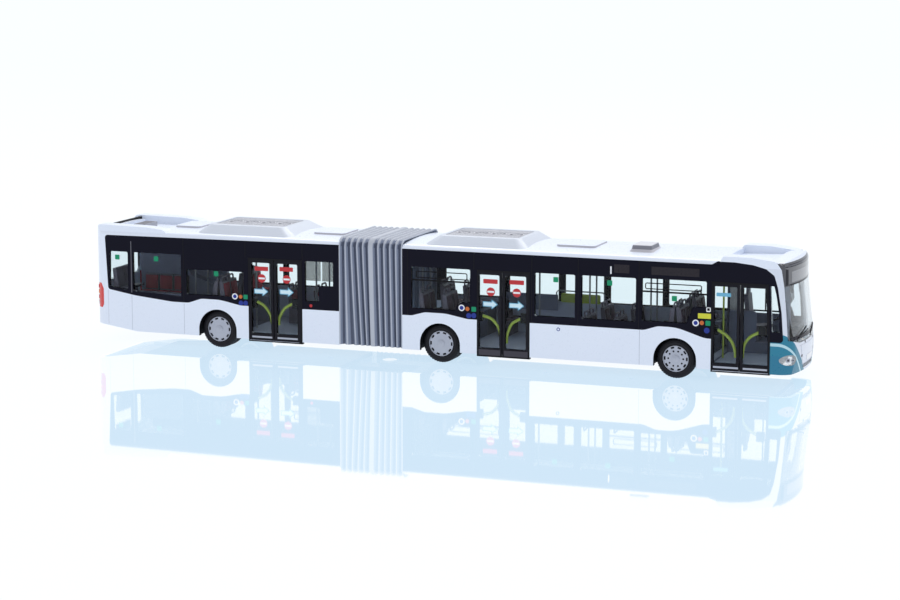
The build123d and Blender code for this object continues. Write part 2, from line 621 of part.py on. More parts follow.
with BuildPart() as pivot_pin:
    with BuildSketch(Plane.XY.offset(2.8)):
        with Locations((X_PIVOT, 0)):
            Circle(2.1)
    extrude(amount=0.6)
    with BuildSketch(Plane.XY.offset(3.4)):
        with Locations((X_PIVOT, 0)):
            Circle(PIN_R)
    extrude(amount=2.45)
finish("pivot_pin", pivot_pin.part)

# ---------------------------------------------------------------- floors and what stands on them
humps, channels = axle_humps(("front", "middle"))
with BuildPart() as front_floor:
    add(slab(-6.6, 98.4, -FLOOR_HALF, FLOOR_HALF, FLOOR_LOW, FLOOR_TOP))
    add(humps)
    # driver's partition and cab step
    add(slab(81.4, 82.0, 3.6, FLOOR_HALF, FLOOR_LOW, 31.4))
    add(slab(82.0, 98.4, 3.2, FLOOR_HALF, FLOOR_LOW, 8.4))
    add(well_cuts(("front", "middle")) + channels, mode=Mode.SUBTRACT)
finish("front_floor", front_floor.part)

humps, channels = axle_humps(("rear",))
with BuildPart() as rear_floor:
    add(side_region(
        [(-28.6, 4.65), (-28.6, 5.25), (-76.5, 5.25), (-76.5, 9.2), (-102.2, 9.2), (-102.2, 5.9), (-80.0, 4.65)], -FLOOR_HALF + 0.1, FLOOR_HALF - 0.1,
    ))
    add(humps)
    # engine housing behind the seats that face the aisle
    add(side_region(
        [(-101.4, 9.2), (-77.2, 9.2), (-77.2, 15.0), (-84.5, 17.2), (-87.2, 22.4), (-87.2, 27.5), (-101.4, 27.5)], 7.6, 12.9,
    ))
    # lining panel ahead of the housing
    add(side_region([(-87.6, 9.2), (-76.6, 9.2), (-76.6, 14.0), (-74.6, 15.2), (-74.6, 26.4), (-87.6, 26.4)], 11.8, 12.9))
    add(slab(-32, -28, -3.2, 3.2, 0, 6.0), mode=Mode.SUBTRACT)
    add(well_cuts(("rear",)) + channels, mode=Mode.SUBTRACT)
    add(tail(WALL + 0.2), mode=Mode.INTERSECT)
finish("rear_floor", rear_floor.part)

with BuildPart() as front_seats:
    for row in FRONT_SEATS:
        add(seat(*row))
    # driver's seat on the cab step
    add(side_region([(86.2, 8.4), (89.6, 8.4), (89.6, 11.4), (91.6, 11.8), (91.6, 12.8), (87.6, 12.6), (86.7, 21.2), (85.5, 21.2), (86.2, 12.0)], 5.2, 9.8))
finish("front_seats", front_seats.part)

with BuildPart() as rear_seats:
    for row in REAR_SEATS:
        add(seat(*row))
    for x, side in SIDE_SEATS:
        add(side_seat(x, side))
finish("rear_seats", rear_seats.part)

with BuildPart() as front_grab_poles:
    with BuildSketch(Plane.XY.offset(FLOOR_TOP)):
        with Locations(FRONT_POLES):
            Circle(0.25)
    extrude(amount=26.9)
finish("front_grab_poles", front_grab_poles.part)

with BuildPart() as rear_grab_poles:
    for x, y in REAR_POLES:
        z = 9.2 if x < -76.5 else FLOOR_TOP
        with BuildSketch(Plane.XY.offset(z)):
            with Locations((x, y)):
                Circle(0.25)
        extrude(amount=32.15 - z)
finish("rear_grab_poles", rear_grab_poles.part)

with BuildPart() as dashboard:
    add(side_region([(97.4, 8.4), (98.4, 8.4), (101.0, 9.4), (101.4, 12.4), (100.8, 13.4), (97.6, 13.0), (97.0, 11.6)], 3.4, 11.2))
    add(side_region([(98.9, 8.0), (101.0, 8.0), (101.2, 11.6), (98.9, 11.6)], -11.2, 3.4))
finish("dashboard", dashboard.part)

wheel_plane = Plane(origin=(95.9, 7.5, 15.2), x_dir=(0, 1, 0), z_dir=(-0.5, 0, 0.866))
with BuildPart() as steering_wheel:
    with BuildSketch(wheel_plane):
        Circle(2.7)
        Circle(2.3, mode=Mode.SUBTRACT)
        Rectangle(4.9, 0.5)
        Circle(0.7)
    extrude(amount=0.4)
    with BuildSketch(wheel_plane):
        Circle(0.35)
    extrude(amount=-2.35)
finish("steering_wheel", steering_wheel.part)

# ---------------------------------------------------------------- roof pieces
# ends of the top and of the foot of each roof unit
FRONT_UNIT, REAR_UNIT = (1.2, 25.2, -3.2, 29.0), (-70.2, -46.2, -74.0, -41.2)
finish("front_roof_unit", roof_unit(*FRONT_UNIT))
finish("rear_roof_unit", roof_unit(*REAR_UNIT))
finish("front_roof_grille", unit_grille(*FRONT_UNIT))
finish("rear_roof_grille", unit_grille(*REAR_UNIT))

with BuildPart() as roof_vent:
    with BuildSketch(Plane.XY.offset(32.6)):
        with Locations((59.8, -3.8)):
            RectangleRounded(6.6, 9.4, 0.8)
    with BuildSketch(Plane.XY.offset(35.2)):
        with Locations((59.8, -3.8)):
            RectangleRounded(5.4, 8.0, 0.6)
    loft(ruled=True)
    add(tube(50, 70, 0.0, Z_DOOR), mode=Mode.SUBTRACT)
finish("roof_vent", roof_vent.part)

with BuildPart() as engine_grille:
    add(slab(-102.9, -102.0, -9.7, 9.7, 33.0, 34.2))
    add(rear_outer.part, mode=Mode.SUBTRACT)
    add(slab(-97.4, -93.7, -4.5, 3.5, 32.2, 33.75))
finish("engine_grille", engine_grille.part)

# ---------------------------------------------------------------- wheelsets
for name, x, width in AXLES:
    inside = WHEEL_FACE - width
    hub = Axis((x, 0, AXLE_Z), (0, 1, 0))
    with BuildPart() as axle:
        with BuildSketch(Plane.XZ.offset(-(WHEEL_FACE - 1.2))):
            with Locations((x, AXLE_Z)):
                Circle(AXLE_R)
        extrude(amount=2 * (WHEEL_FACE - 1.2))
    finish(name + "_axle", axle.part)

    with BuildPart() as tyres:
        for side in (-1, 1):
            with BuildSketch(Plane.XY.offset(AXLE_Z)):
                with BuildLine():
                    # half section of the tyre, a groove in the middle where two tyres stand side by side
                    outline = [(x + RIM_R, side * WHEEL_FACE), (x + TYRE_R - 0.5, side * WHEEL_FACE), (x + TYRE_R, side * (WHEEL_FACE - 0.5))]
                    if width > 5:
                        outline += [
                            (x + TYRE_R, side * (WHEEL_FACE - 2.7)), (x + TYRE_R - 0.9, side * (WHEEL_FACE - 3.0)),
                            (x + TYRE_R - 0.9, side * (WHEEL_FACE - 3.4)), (x + TYRE_R, side * (WHEEL_FACE - 3.7)),
                        ]
                    outline += [(x + TYRE_R, side * (inside + 0.5)), (x + TYRE_R - 0.5, side * inside), (x + RIM_R, side * inside)]
                    Polyline(*outline, close=True)
                make_face()
            revolve(axis=hub)
    finish(name + "_tyres", tyres.part)

    with BuildPart() as rims:
        for side in (-1, 1):
            with BuildSketch(Plane.XY.offset(AXLE_Z)):
                with BuildLine():
                    # nearly flat disc with a low rim, from the tyre seat to the axle seat
                    face = side * WHEEL_FACE
                    Polyline(
                        (x + RIM_R, face), (x + RIM_R - 0.16, face), (x + RIM_R - 0.22, face - side * 0.14), (x + 2.5, face - side * 0.14),
                        (x + 1.25, face - side * 0.06), (x + 1.15, face - side * 0.02), (x, face - side * 0.02), (x, face - side * 1.2), (x + AXLE_R, face - side * 1.2),
                        (x + AXLE_R, side * (inside + 0.6)), (x + 1.5, side * (inside + 0.6)), (x + 1.7, face - side * 1.6),
                        (x + RIM_R - 0.6, face - side * 1.6), (x + RIM_R - 0.6, side * inside), (x + RIM_R, side * inside), close=True,
                    )
                make_face()
            revolve(axis=hub)
        # ring of slots in each disc, and a ring of bolt recesses on the front wheels
        for side in (-1, 1):
            with BuildSketch(Plane(origin=(x, side * (WHEEL_FACE - 0.75), AXLE_Z), x_dir=(1, 0, 0), z_dir=(0, side, 0))):
                with PolarLocations(3.10, 10):
                    Rectangle(0.50, 1.00)
                if name == "front":
                    with PolarLocations(2.1, 10):
                        Circle(0.26)
            extrude(amount=2, mode=Mode.SUBTRACT)
    finish(name + "_rims", rims.part)

# ---------------------------------------------------------------- bellows hoops
for number, (steps, thick) in enumerate(HOOPS, start=1):
    x = X_PIVOT + steps * HOOP_PITCH
    with BuildPart() as hoop:
        with BuildSketch(Plane.YZ.offset(x - thick / 2)):
            with BuildLine():
                FilletPolyline(
                    (-HOOP_HALF, HOOP_LOW), (-HOOP_HALF, HOOP_TOP), (HOOP_HALF, HOOP_TOP), (HOOP_HALF, HOOP_LOW),
                    (HOOP_HALF - HOOP_DEPTH, HOOP_LOW), (HOOP_HALF - HOOP_DEPTH, HOOP_TOP - HOOP_DEPTH),
                    (HOOP_DEPTH - HOOP_HALF, HOOP_TOP - HOOP_DEPTH), (HOOP_DEPTH - HOOP_HALF, HOOP_LOW),
                    radius=[0, HOOP_R, HOOP_R, 0, 0, 0.8, 0.8, 0], close=True,
                )
            make_face()
        extrude(amount=thick)
    finish("bellows_hoop_" + str(number), hoop.part)
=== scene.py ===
"""Looks of the articulated bus model: materials, bellows, tyres, trim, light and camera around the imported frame."""

import math

import bmesh
import bpy
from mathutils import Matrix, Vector


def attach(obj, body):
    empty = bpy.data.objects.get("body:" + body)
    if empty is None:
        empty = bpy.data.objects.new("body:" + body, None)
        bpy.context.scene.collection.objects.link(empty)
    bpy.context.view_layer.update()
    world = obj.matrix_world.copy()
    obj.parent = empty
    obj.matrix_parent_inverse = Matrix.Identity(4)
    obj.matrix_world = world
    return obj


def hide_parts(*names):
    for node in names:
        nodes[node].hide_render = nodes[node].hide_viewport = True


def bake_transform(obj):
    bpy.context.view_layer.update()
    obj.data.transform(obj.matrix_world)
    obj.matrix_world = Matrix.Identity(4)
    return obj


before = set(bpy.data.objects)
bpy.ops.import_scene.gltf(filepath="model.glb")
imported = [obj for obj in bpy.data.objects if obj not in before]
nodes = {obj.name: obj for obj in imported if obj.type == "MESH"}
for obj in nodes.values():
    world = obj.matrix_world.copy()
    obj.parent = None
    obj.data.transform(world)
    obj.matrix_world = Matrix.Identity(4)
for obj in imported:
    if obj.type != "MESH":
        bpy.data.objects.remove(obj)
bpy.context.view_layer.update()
scene = bpy.context.scene
MM = 0.001

HALF = 14.65  # outer face of the side walls
X_FRONT_END, X_REAR_END, X_PIVOT = -7.9, -27.2, -17.55
AXLE_Z = 5.5


# ------------------------------------------------------------------ materials
def shade(colour, factor):
    return tuple(min(c * factor, 1.0) for c in colour) + (1.0,)


def texture(tree, grain, detail=3.0):
    """Noise by place on the piece, with features of about grain millimetres."""
    coord = tree.nodes.new("ShaderNodeTexCoord")
    noise = tree.nodes.new("ShaderNodeTexNoise")
    noise.inputs["Scale"].default_value = 1000.0 / grain
    noise.inputs["Detail"].default_value = detail
    tree.links.new(coord.outputs["Object"], noise.inputs["Vector"])
    return noise.outputs["Fac"]


def mixed(tree, factor, a, b):
    """Colour between two, each a colour or the output of a node."""
    n = tree.nodes.new("ShaderNodeMix")
    n.data_type = "RGBA"
    tree.links.new(factor, n.inputs["Factor"])
    for key, value in (("A", a), ("B", b)):
        socket = [s for s in n.inputs if s.name == key and s.type == "RGBA"][0]
        if isinstance(value, tuple):
            socket.default_value = (*value[:3], 1.0)
        else:
            tree.links.new(value, socket)
    return [s for s in n.outputs if s.type == "RGBA"][0]


def ranged(tree, value, low, high):
    n = tree.nodes.new("ShaderNodeMapRange")
    n.inputs["From Min"].default_value, n.inputs["From Max"].default_value = 0.25, 0.75
    n.inputs["To Min"].default_value, n.inputs["To Max"].default_value = low, high
    tree.links.new(value, n.inputs["Value"])
    return n.outputs["Result"]


def grained(tree, p, grain, bump):
    """Moulded grain on a surface: bump in millimetres."""
    n = tree.nodes.new("ShaderNodeBump")
    n.inputs["Strength"].default_value = 0.5
    n.inputs["Distance"].default_value = bump * MM
    fine = texture(tree, grain)
    tree.links.new(fine, n.inputs["Height"])
    tree.links.new(n.outputs["Normal"], p.inputs["Normal"])
    return fine


def material(name, colour, rough=0.5, metal=0.0, coat=0.0, trans=0.0, ior=1.5, spec=0.5, grain=0.4, bump=0.006, vary=0.03, dots=None):
    """Moulded or printed plastic: colour, roughness and relief vary a little over the piece.

    dots gives the colour of a fine grid of points, as on a dark display, and the axis across it.
    """
    m = bpy.data.materials.new(name)
    m.use_nodes = True
    tree = m.node_tree
    p = tree.nodes["Principled BSDF"]
    p.inputs["Metallic"].default_value = metal
    p.inputs["Coat Weight"].default_value = coat
    p.inputs["Coat Roughness"].default_value = 0.04
    p.inputs["Transmission Weight"].default_value = trans
    p.inputs["IOR"].default_value = ior
    p.inputs["Specular IOR Level"].default_value = spec
    fine = grained(tree, p, grain, bump)
    paint = mixed(tree, texture(tree, 18 * grain, 2.0), shade(colour, 1 - vary), shade(colour, 1 + vary))
    if dots:
        spot, axis = dots
        coord = tree.nodes.new("ShaderNodeTexCoord")
        flat = tree.nodes.new("ShaderNodeMapping")
        pitch = 1000.0 / 0.36
        flat.inputs["Scale"].default_value = (0.0, pitch, pitch) if axis == "x" else (pitch, 0.0, pitch)
        cells = tree.nodes.new("ShaderNodeTexVoronoi")
        cells.inputs["Scale"].default_value = 1.0
        cells.inputs["Randomness"].default_value = 0.0
        near = tree.nodes.new("ShaderNodeMath")
        near.operation = "LESS_THAN"
        near.inputs[1].default_value = 0.33
        tree.links.new(coord.outputs["Object"], flat.inputs["Vector"])
        tree.links.new(flat.outputs["Vector"], cells.inputs["Vector"])
        tree.links.new(cells.outputs["Distance"], near.inputs[0])
        paint = mixed(tree, near.outputs[0], paint, spot)
    tree.links.new(paint, p.inputs["Base Color"])
    if rough > 0.02:
        tree.links.new(ranged(tree, fine, 0.82 * rough, min(1.2 * rough, 1.0)), p.inputs["Roughness"])
    else:
        p.inputs["Roughness"].default_value = rough
    return m


# the blue cast of this white is painted light: it stands in for the bluish light on the shaded sides of plain white
# plastic
PAINT_WHITE = (0.77, 0.83, 0.95)
WHITE = material("white_plastic", PAINT_WHITE, 0.3, coat=0.15, vary=0.012)
BLACK = material("black_gloss", (0.004, 0.004, 0.012), 0.12, spec=0.09, vary=0.1)
DOOR_BLACK = material("door_black", (0.007, 0.007, 0.012), 0.3, spec=0.14, vary=0.1)
RUBBER = material("black_rubber", (0.006, 0.006, 0.009), 0.6, spec=0.16, grain=0.25, bump=0.01, vary=0.15)
CHASSIS = material("chassis_black", (0.008, 0.008, 0.011), 0.6, spec=0.2, grain=0.3, bump=0.015, vary=0.15)
GLASS = material("clear_glazing", (0.86, 0.92, 0.93), 0.0, trans=1.0, ior=1.19, grain=9.0, bump=0.01, vary=0.006)
SCREEN = material("windscreen_glazing", (0.75, 0.80, 0.83), 0.0, trans=1.0, ior=1.42, grain=9.0, bump=0.01, vary=0.006)
DISPLAY = material("display_glass", (0.062, 0.062, 0.075), 0.08, coat=0.2)
DISPLAY_PANEL = material("display_panel", (0.018, 0.016, 0.022), 0.3, spec=0.15, dots=((0.032, 0.026, 0.032), "y"))
LAMP = material("lamp_clear", (0.92, 0.94, 0.95), 0.04, trans=0.7, ior=1.3, grain=0.5, bump=0.01, vary=0.01)
LAMP_RED = material("lamp_red", (0.62, 0.02, 0.02), 0.12, coat=0.5, bump=0.01, vary=0.08)
LAMP_AMBER = material("lamp_amber", (0.85, 0.30, 0.02), 0.2, coat=0.4, bump=0.01, vary=0.08)
SILVER = material("silver_paint", (0.41, 0.435, 0.51), 0.34, metal=0.7, grain=0.12, bump=0.004, vary=0.06)
STEEL = material("steel", (0.55, 0.55, 0.56), 0.35, metal=1.0, grain=0.2, bump=0.004, vary=0.05)
INTERIOR = material("interior_grey", (0.15, 0.165, 0.245), 0.6, spec=0.2, bump=0.012, vary=0.08)
# lit copy of the interior grey: painted light on the far side wall inside and on the floor by the doors
INSIDE_PAINTED_LIGHT = material("inside_painted_light", (0.45, 0.49, 0.62), 0.6, spec=0.2, bump=0.012, vary=0.08)
SEAT = material("seat_shell", (0.10, 0.088, 0.125), 0.5, spec=0.3, bump=0.012, vary=0.08)
CUSHION = material("seat_red", (0.23, 0.027, 0.044), 0.75, spec=0.2, grain=0.3, bump=0.03, vary=0.35)
POLE = material("pole_green", (0.40, 0.50, 0.06), 0.35, vary=0.05)
POLE_GREY = material("pole_grey", (0.18, 0.19, 0.22), 0.35, vary=0.05)
GRILLE = material("grille_grey", (0.36, 0.37, 0.42), 0.5, bump=0.01, vary=0.06)
GRILLE_LIGHT = material("grille_light", (0.60, 0.61, 0.66), 0.5, bump=0.01, vary=0.04)
VENT = material("vent_grey", (0.20, 0.20, 0.235), 0.5, bump=0.01, vary=0.06)
BELLOWS = material("bellows_grey", (0.47, 0.50, 0.57), 0.6, spec=0.3, grain=0.22, bump=0.02, vary=0.06)
TYRE = material("tyre_rubber", (0.007, 0.007, 0.011), 0.55, spec=0.25, grain=0.2, bump=0.012, vary=0.15)
SEAM = material("panel_seam", (0.42, 0.45, 0.54), 0.6, vary=0.05)
BLUE = material("sign_blue", (0.012, 0.032, 0.27), 0.35, spec=0.3)
SIGN_WHITE = material("sign_white", (0.80, 0.82, 0.86), 0.35)
GREEN = material("sign_green", (0.0, 0.26, 0.12), 0.35, spec=0.3)
RED = material("sign_red", (0.50, 0.012, 0.02), 0.35)
ORANGE = material("sign_orange", (0.55, 0.14, 0.03), 0.35, spec=0.3)
YELLOW = material("sign_yellow", (0.62, 0.62, 0.03), 0.35)
SKY = material("sign_light_blue", (0.14, 0.42, 0.62), 0.35)
PALE = material("arrow_pale_blue", (0.62, 0.80, 0.88), 0.35)
FACING_DARK = material("seat_facing_dark", (0.056, 0.032, 0.052), 0.75, spec=0.2, grain=0.3, bump=0.03, vary=0.3)
TRIM = material("trim_dark", (0.10, 0.10, 0.125), 0.45, vary=0.06)
# grey standing in for shade on the sloped sides of the roof hatches and vent: painted shade
HATCH_SHADE_GREY = material("hatch_painted_shade", (0.52, 0.51, 0.56), 0.5, vary=0.04)
NAVY = material("partition_navy", (0.018, 0.021, 0.055), 0.45, spec=0.25, vary=0.1)
KICK = material("kick_plate", (0.050, 0.046, 0.060), 0.4, spec=0.25, bump=0.012, vary=0.1)
PANEL_TINT = material("tinted_panel", (0.30, 0.295, 0.29), 0.02, trans=1.0, ior=1.08, grain=3.0, bump=0.02, vary=0.10)
# roof units in the body white darkened to 0.78: painted shade on their sides and front
ROOF_UNIT_SHADED = material("roof_unit_painted_shade", shade(PAINT_WHITE, 0.78), 0.34, coat=0.1, vary=0.015)
# darker copies of the bellows grey: painted shade in the folds
PAINTED_FOLD_SHADE = material("bellows_painted_fold_shade", (0.245, 0.28, 0.375), 0.65, spec=0.25, grain=0.22, bump=0.02, vary=0.08)
PAINTED_DEEP_SHADE = material("bellows_painted_deep_shade", (0.120, 0.140, 0.20), 0.7, spec=0.2, grain=0.22, bump=0.02, vary=0.10)


def mask_paint():
    """White mask with teal lower corners and one pale stripe, by place on the piece; the white is the body white
    darkened to 0.87, painted shade.
    """
    m = bpy.data.materials.new("mask_paint")
    m.use_nodes = True
    tree = m.node_tree
    p = tree.nodes["Principled BSDF"]
    p.inputs["Coat Weight"].default_value = 0.15
    p.inputs["Coat Roughness"].default_value = 0.04
    fine = grained(tree, p, 0.4, 0.006)
    tree.links.new(ranged(tree, fine, 0.25, 0.36), p.inputs["Roughness"])

    def node(kind, **kw):
        n = tree.nodes.new(kind)
        for k, v in kw.items():
            setattr(n, k, v)
        return n

    def math_node(op, a, b):
        n = node("ShaderNodeMath", operation=op)
        for i, value in enumerate((a, b)):
            if isinstance(value, (int, float)):
                n.inputs[i].default_value = value
            else:
                tree.links.new(value, n.inputs[i])
        return n.outputs[0]

    coord = node("ShaderNodeTexCoord")
    xyz = node("ShaderNodeSeparateXYZ")
    tree.links.new(coord.outputs["Object"], xyz.inputs[0])
    across = math_node("ABSOLUTE", xyz.outputs["Y"], 0.0)
    # how far a point lies under the slanting edge of the corner field
    rise = math_node("MULTIPLY", across, 1.06)
    under = math_node("SUBTRACT", math_node("SUBTRACT", rise, 0.00135), xyz.outputs["Z"])
    field = math_node("GREATER_THAN", under, 0.0)
    stripe = math_node("MULTIPLY", math_node("GREATER_THAN", under, 0.0026), math_node("LESS_THAN", under, 0.0034))
    deep = math_node("GREATER_THAN", under, 0.0060)

    teal = mixed(tree, deep, (0.0, 0.185, 0.30), (0.0, 0.165, 0.285))
    teal = mixed(tree, stripe, teal, (0.45, 0.68, 0.76))
    # the white field is painted shade: the body white darkened to 0.87
    paint = mixed(tree, field, shade(PAINT_WHITE, 0.87), teal)
    tree.links.new(paint, p.inputs["Base Color"])
    return m


MASK = mask_paint()

NODE_LOOK = {
    "front_window_bands": BLACK, "rear_window_bands": BLACK, "front_window_panes": GLASS, "rear_window_panes": GLASS,
    "front_door": DOOR_BLACK, "middle_door": DOOR_BLACK, "rear_door": DOOR_BLACK, "windscreen": SCREEN,
    "destination_display": DISPLAY, "headlamps": LAMP, "front_mask": MASK, "front_roof": WHITE, "front_side_panels": WHITE,
    "rear_screen": GLASS, "tail_lamps": LAMP_RED, "rear_wall": WHITE, "rear_roof": WHITE, "rear_side_panels": WHITE,
    "front_chassis": CHASSIS, "rear_chassis": CHASSIS, "pivot_pin": STEEL, "front_floor": INTERIOR, "rear_floor": INTERIOR,
    "front_seats": SEAT, "rear_seats": SEAT, "front_grab_poles": POLE_GREY, "rear_grab_poles": POLE_GREY, "dashboard": CHASSIS,
    "steering_wheel": CHASSIS, "front_roof_unit": ROOF_UNIT_SHADED, "rear_roof_unit": ROOF_UNIT_SHADED, "front_roof_grille": GRILLE,
    "rear_roof_grille": GRILLE, "roof_vent": VENT, "engine_grille": CHASSIS,
}
for axle in ("front", "middle", "rear"):
    NODE_LOOK[axle + "_axle"] = STEEL
    NODE_LOOK[axle + "_tyres"] = TYRE
    NODE_LOOK[axle + "_rims"] = SILVER
for name, obj in nodes.items():
    look = NODE_LOOK.get(name, BELLOWS)
    obj.data.materials.clear()
    obj.data.materials.append(look)
    for poly in obj.data.polygons:
        poly.material_index = 0


# ------------------------------------------------------------------ mesh helper, in millimetres of the row frame
class Piece:
    def __init__(self):
        self.verts, self.faces = [], []

    def add(self, verts, faces):
        base = len(self.verts)
        self.verts += [tuple(v) for v in verts]
        self.faces += [[i + base for i in f] for f in faces]
        return self

    def prism(self, outline, low, high, place):
        """Closed prism of a flat outline; place(u, v, w) puts a point, w from low to high."""
        n = len(outline)
        verts = [place(u, v, low) for u, v in outline] + [place(u, v, high) for u, v in outline]
        faces = [list(range(n))[::-1], list(range(n, 2 * n))]
        faces += [[i, (i + 1) % n, n + (i + 1) % n, n + i] for i in range(n)]
        return self.add(verts, faces)

    def side(self, outline, y0, y1):
        """Outline in X and Z, between two Y values."""
        return self.prism(outline, y0, y1, lambda u, v, w: (u, w, v))

    def front(self, outline, x0, x1):
        """Outline in Y and Z, between two X values."""
        return self.prism(outline, x0, x1, lambda u, v, w: (w, u, v))

    def top(self, outline, z0, z1):
        """Outline in X and Y, between two Z values."""
        return self.prism(outline, z0, z1, lambda u, v, w: (u, v, w))

    def box(self, x0, x1, y0, y1, z0, z1):
        return self.top([(x0, y0), (x1, y0), (x1, y1), (x0, y1)], z0, z1)

    def tube(self, points, radius, sides=10):
        """Round bar along points, closed at both ends."""
        pts = [Vector(p) for p in points]
        n = len(pts)
        rings, normal = [], None
        for i, p in enumerate(pts):
            tangent = (pts[min(i + 1, n - 1)] - pts[max(i - 1, 0)]).normalized()
            if normal is None:
                normal = tangent.orthogonal().normalized()
            normal = (normal - tangent * normal.dot(tangent)).normalized()
            other = tangent.cross(normal)
            rings.append([p + radius * (math.cos(a) * normal + math.sin(a) * other) for a in (2 * math.pi * k / sides for k in range(sides))])
        verts = [v for ring in rings for v in ring]
        faces = [
            [i * sides + k, i * sides + (k + 1) % sides, (i + 1) * sides + (k + 1) % sides, (i + 1) * sides + k]
            for i in range(n - 1) for k in range(sides)
        ]
        faces += [list(range(sides))[::-1], list(range((n - 1) * sides, n * sides))]
        return self.add(verts, faces)

    def lathe(self, profile, centre, axis, steps=64):
        """Closed profile of (radius, along) turned about an axis through centre; axis is 'y' or 'z'."""
        m = len(profile)
        verts = []
        for k in range(steps):
            a = 2 * math.pi * k / steps
            for r, w in profile:
                if axis == "y":
                    verts.append((centre[0] + r * math.cos(a), centre[1] + w, centre[2] + r * math.sin(a)))
                else:
                    verts.append((centre[0] + r * math.cos(a), centre[1] + r * math.sin(a), centre[2] + w))
        faces = [
            [k * m + i, k * m + (i + 1) % m, ((k + 1) % steps) * m + (i + 1) % m, ((k + 1) % steps) * m + i]
            for k in range(steps) for i in range(m)
        ]
        return self.add(verts, faces)

    def frame_side(self, x0, x1, z0, z1, width, y0, y1, radius=0.6):
        """Thin rounded rectangular frame on a side wall."""
        outer = rounded(x0, x1, z0, z1, radius)
        inner = rounded(x0 + width, x1 - width, z0 + width, z1 - width, max(radius - width, 0.05))
        return self.ring_side(outer, inner, y0, y1)

    def ring_side(self, outer, inner, y0, y1):
        """Flat ring on a side wall between two outlines with as many points each."""
        n = len(outer)
        verts = [(u, y0, v) for u, v in outer] + [(u, y0, v) for u, v in inner] + [(u, y1, v) for u, v in outer] + [(u, y1, v) for u, v in inner]
        faces = []
        for i in range(n):
            j = (i + 1) % n
            faces += [[i, j, n + j, n + i], [2 * n + i, 3 * n + i, 3 * n + j, 2 * n + j], [i, 2 * n + i, 2 * n + j, j], [n + i, n + j, 3 * n + j, 3 * n + i]]
        return self.add(verts, faces)

    def build(self, name, look, body, slot=None, smooth=40.0, bevel=0.0, ride=True):
        mesh = bpy.data.meshes.new(name)
        mesh.from_pydata([(x * MM, y * MM, z * MM) for x, y, z in self.verts], [], self.faces)
        bm = bmesh.new()
        bm.from_mesh(mesh)
        bmesh.ops.recalc_face_normals(bm, faces=bm.faces)
        if bevel:
            edges = [e for e in bm.edges if len(e.link_faces) == 2 and e.calc_face_angle(0.0) > math.radians(35)]
            bmesh.ops.bevel(bm, geom=edges, offset=bevel * MM, segments=2, profile=0.6, affect="EDGES", clamp_overlap=True)
        bm.to_mesh(mesh)
        bm.free()
        mesh.materials.append(look)
        if smooth:
            mesh.shade_smooth()
            mesh.set_sharp_from_angle(angle=math.radians(smooth))
        obj = bpy.data.objects.new(name, mesh)
        scene.collection.objects.link(obj)
        if ride:
            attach(obj, body)
        return obj


def rounded(u0, u1, v0, v1, r, steps=5):
    """Outline of a rectangle with round corners, counter-clockwise."""
    out = []
    for cu, cv, start in ((u1 - r, v0 + r, -90), (u1 - r, v1 - r, 0), (u0 + r, v1 - r, 90), (u0 + r, v0 + r, 180)):
        for k in range(steps + 1):
            a = math.radians(start + 90 * k / steps)
            out.append((cu + r * math.cos(a), cv + r * math.sin(a)))
    return out


def circle(cu, cv, r, steps=28):
    return [(cu + r * math.cos(2 * math.pi * k / steps), cv + r * math.sin(2 * math.pi * k / steps)) for k in range(steps)]


def smooth_path(points, steps=8):
    """Points along a smooth curve through the given ones."""
    pts = [Vector(p) for p in points]
    pts = [2 * pts[0] - pts[1]] + pts + [2 * pts[-1] - pts[-2]]
    out = []
    for i in range(1, len(pts) - 2):
        a, b, c, d = pts[i - 1], pts[i], pts[i + 1], pts[i + 2]
        for k in range(steps):
            t = k / steps
            out.append(0.5 * (2 * b + (c - a) * t + (2 * a - 5 * b + 4 * c - d) * t * t + (3 * b - a - 3 * c + d) * t ** 3))
    out.append(pts[-2])
    return out


# ------------------------------------------------------------------ bellows: one pleated skin between the cars
# how far each pleat leans along the bus at its free lower edge, by place from the pivot
LEAN = [
    (-9.65, 0.0), (-8.1, 0.3), (-6.4, 1.3), (-4.7, 1.4), (-3.0, 1.3), (-1.3, 1.0), (0.0, 0.35),
    (1.3, 0.8), (3.0, 0.65), (4.7, 0.5), (6.4, 0.6), (8.1, 0.25), (9.65, 0.0),
]


def lean(dx):
    for (a, fa), (b, fb) in zip(LEAN, LEAN[1:]):
        if a <= dx <= b:
            return fa + (fb - fa) * (dx - a) / (b - a)
    return 0.0


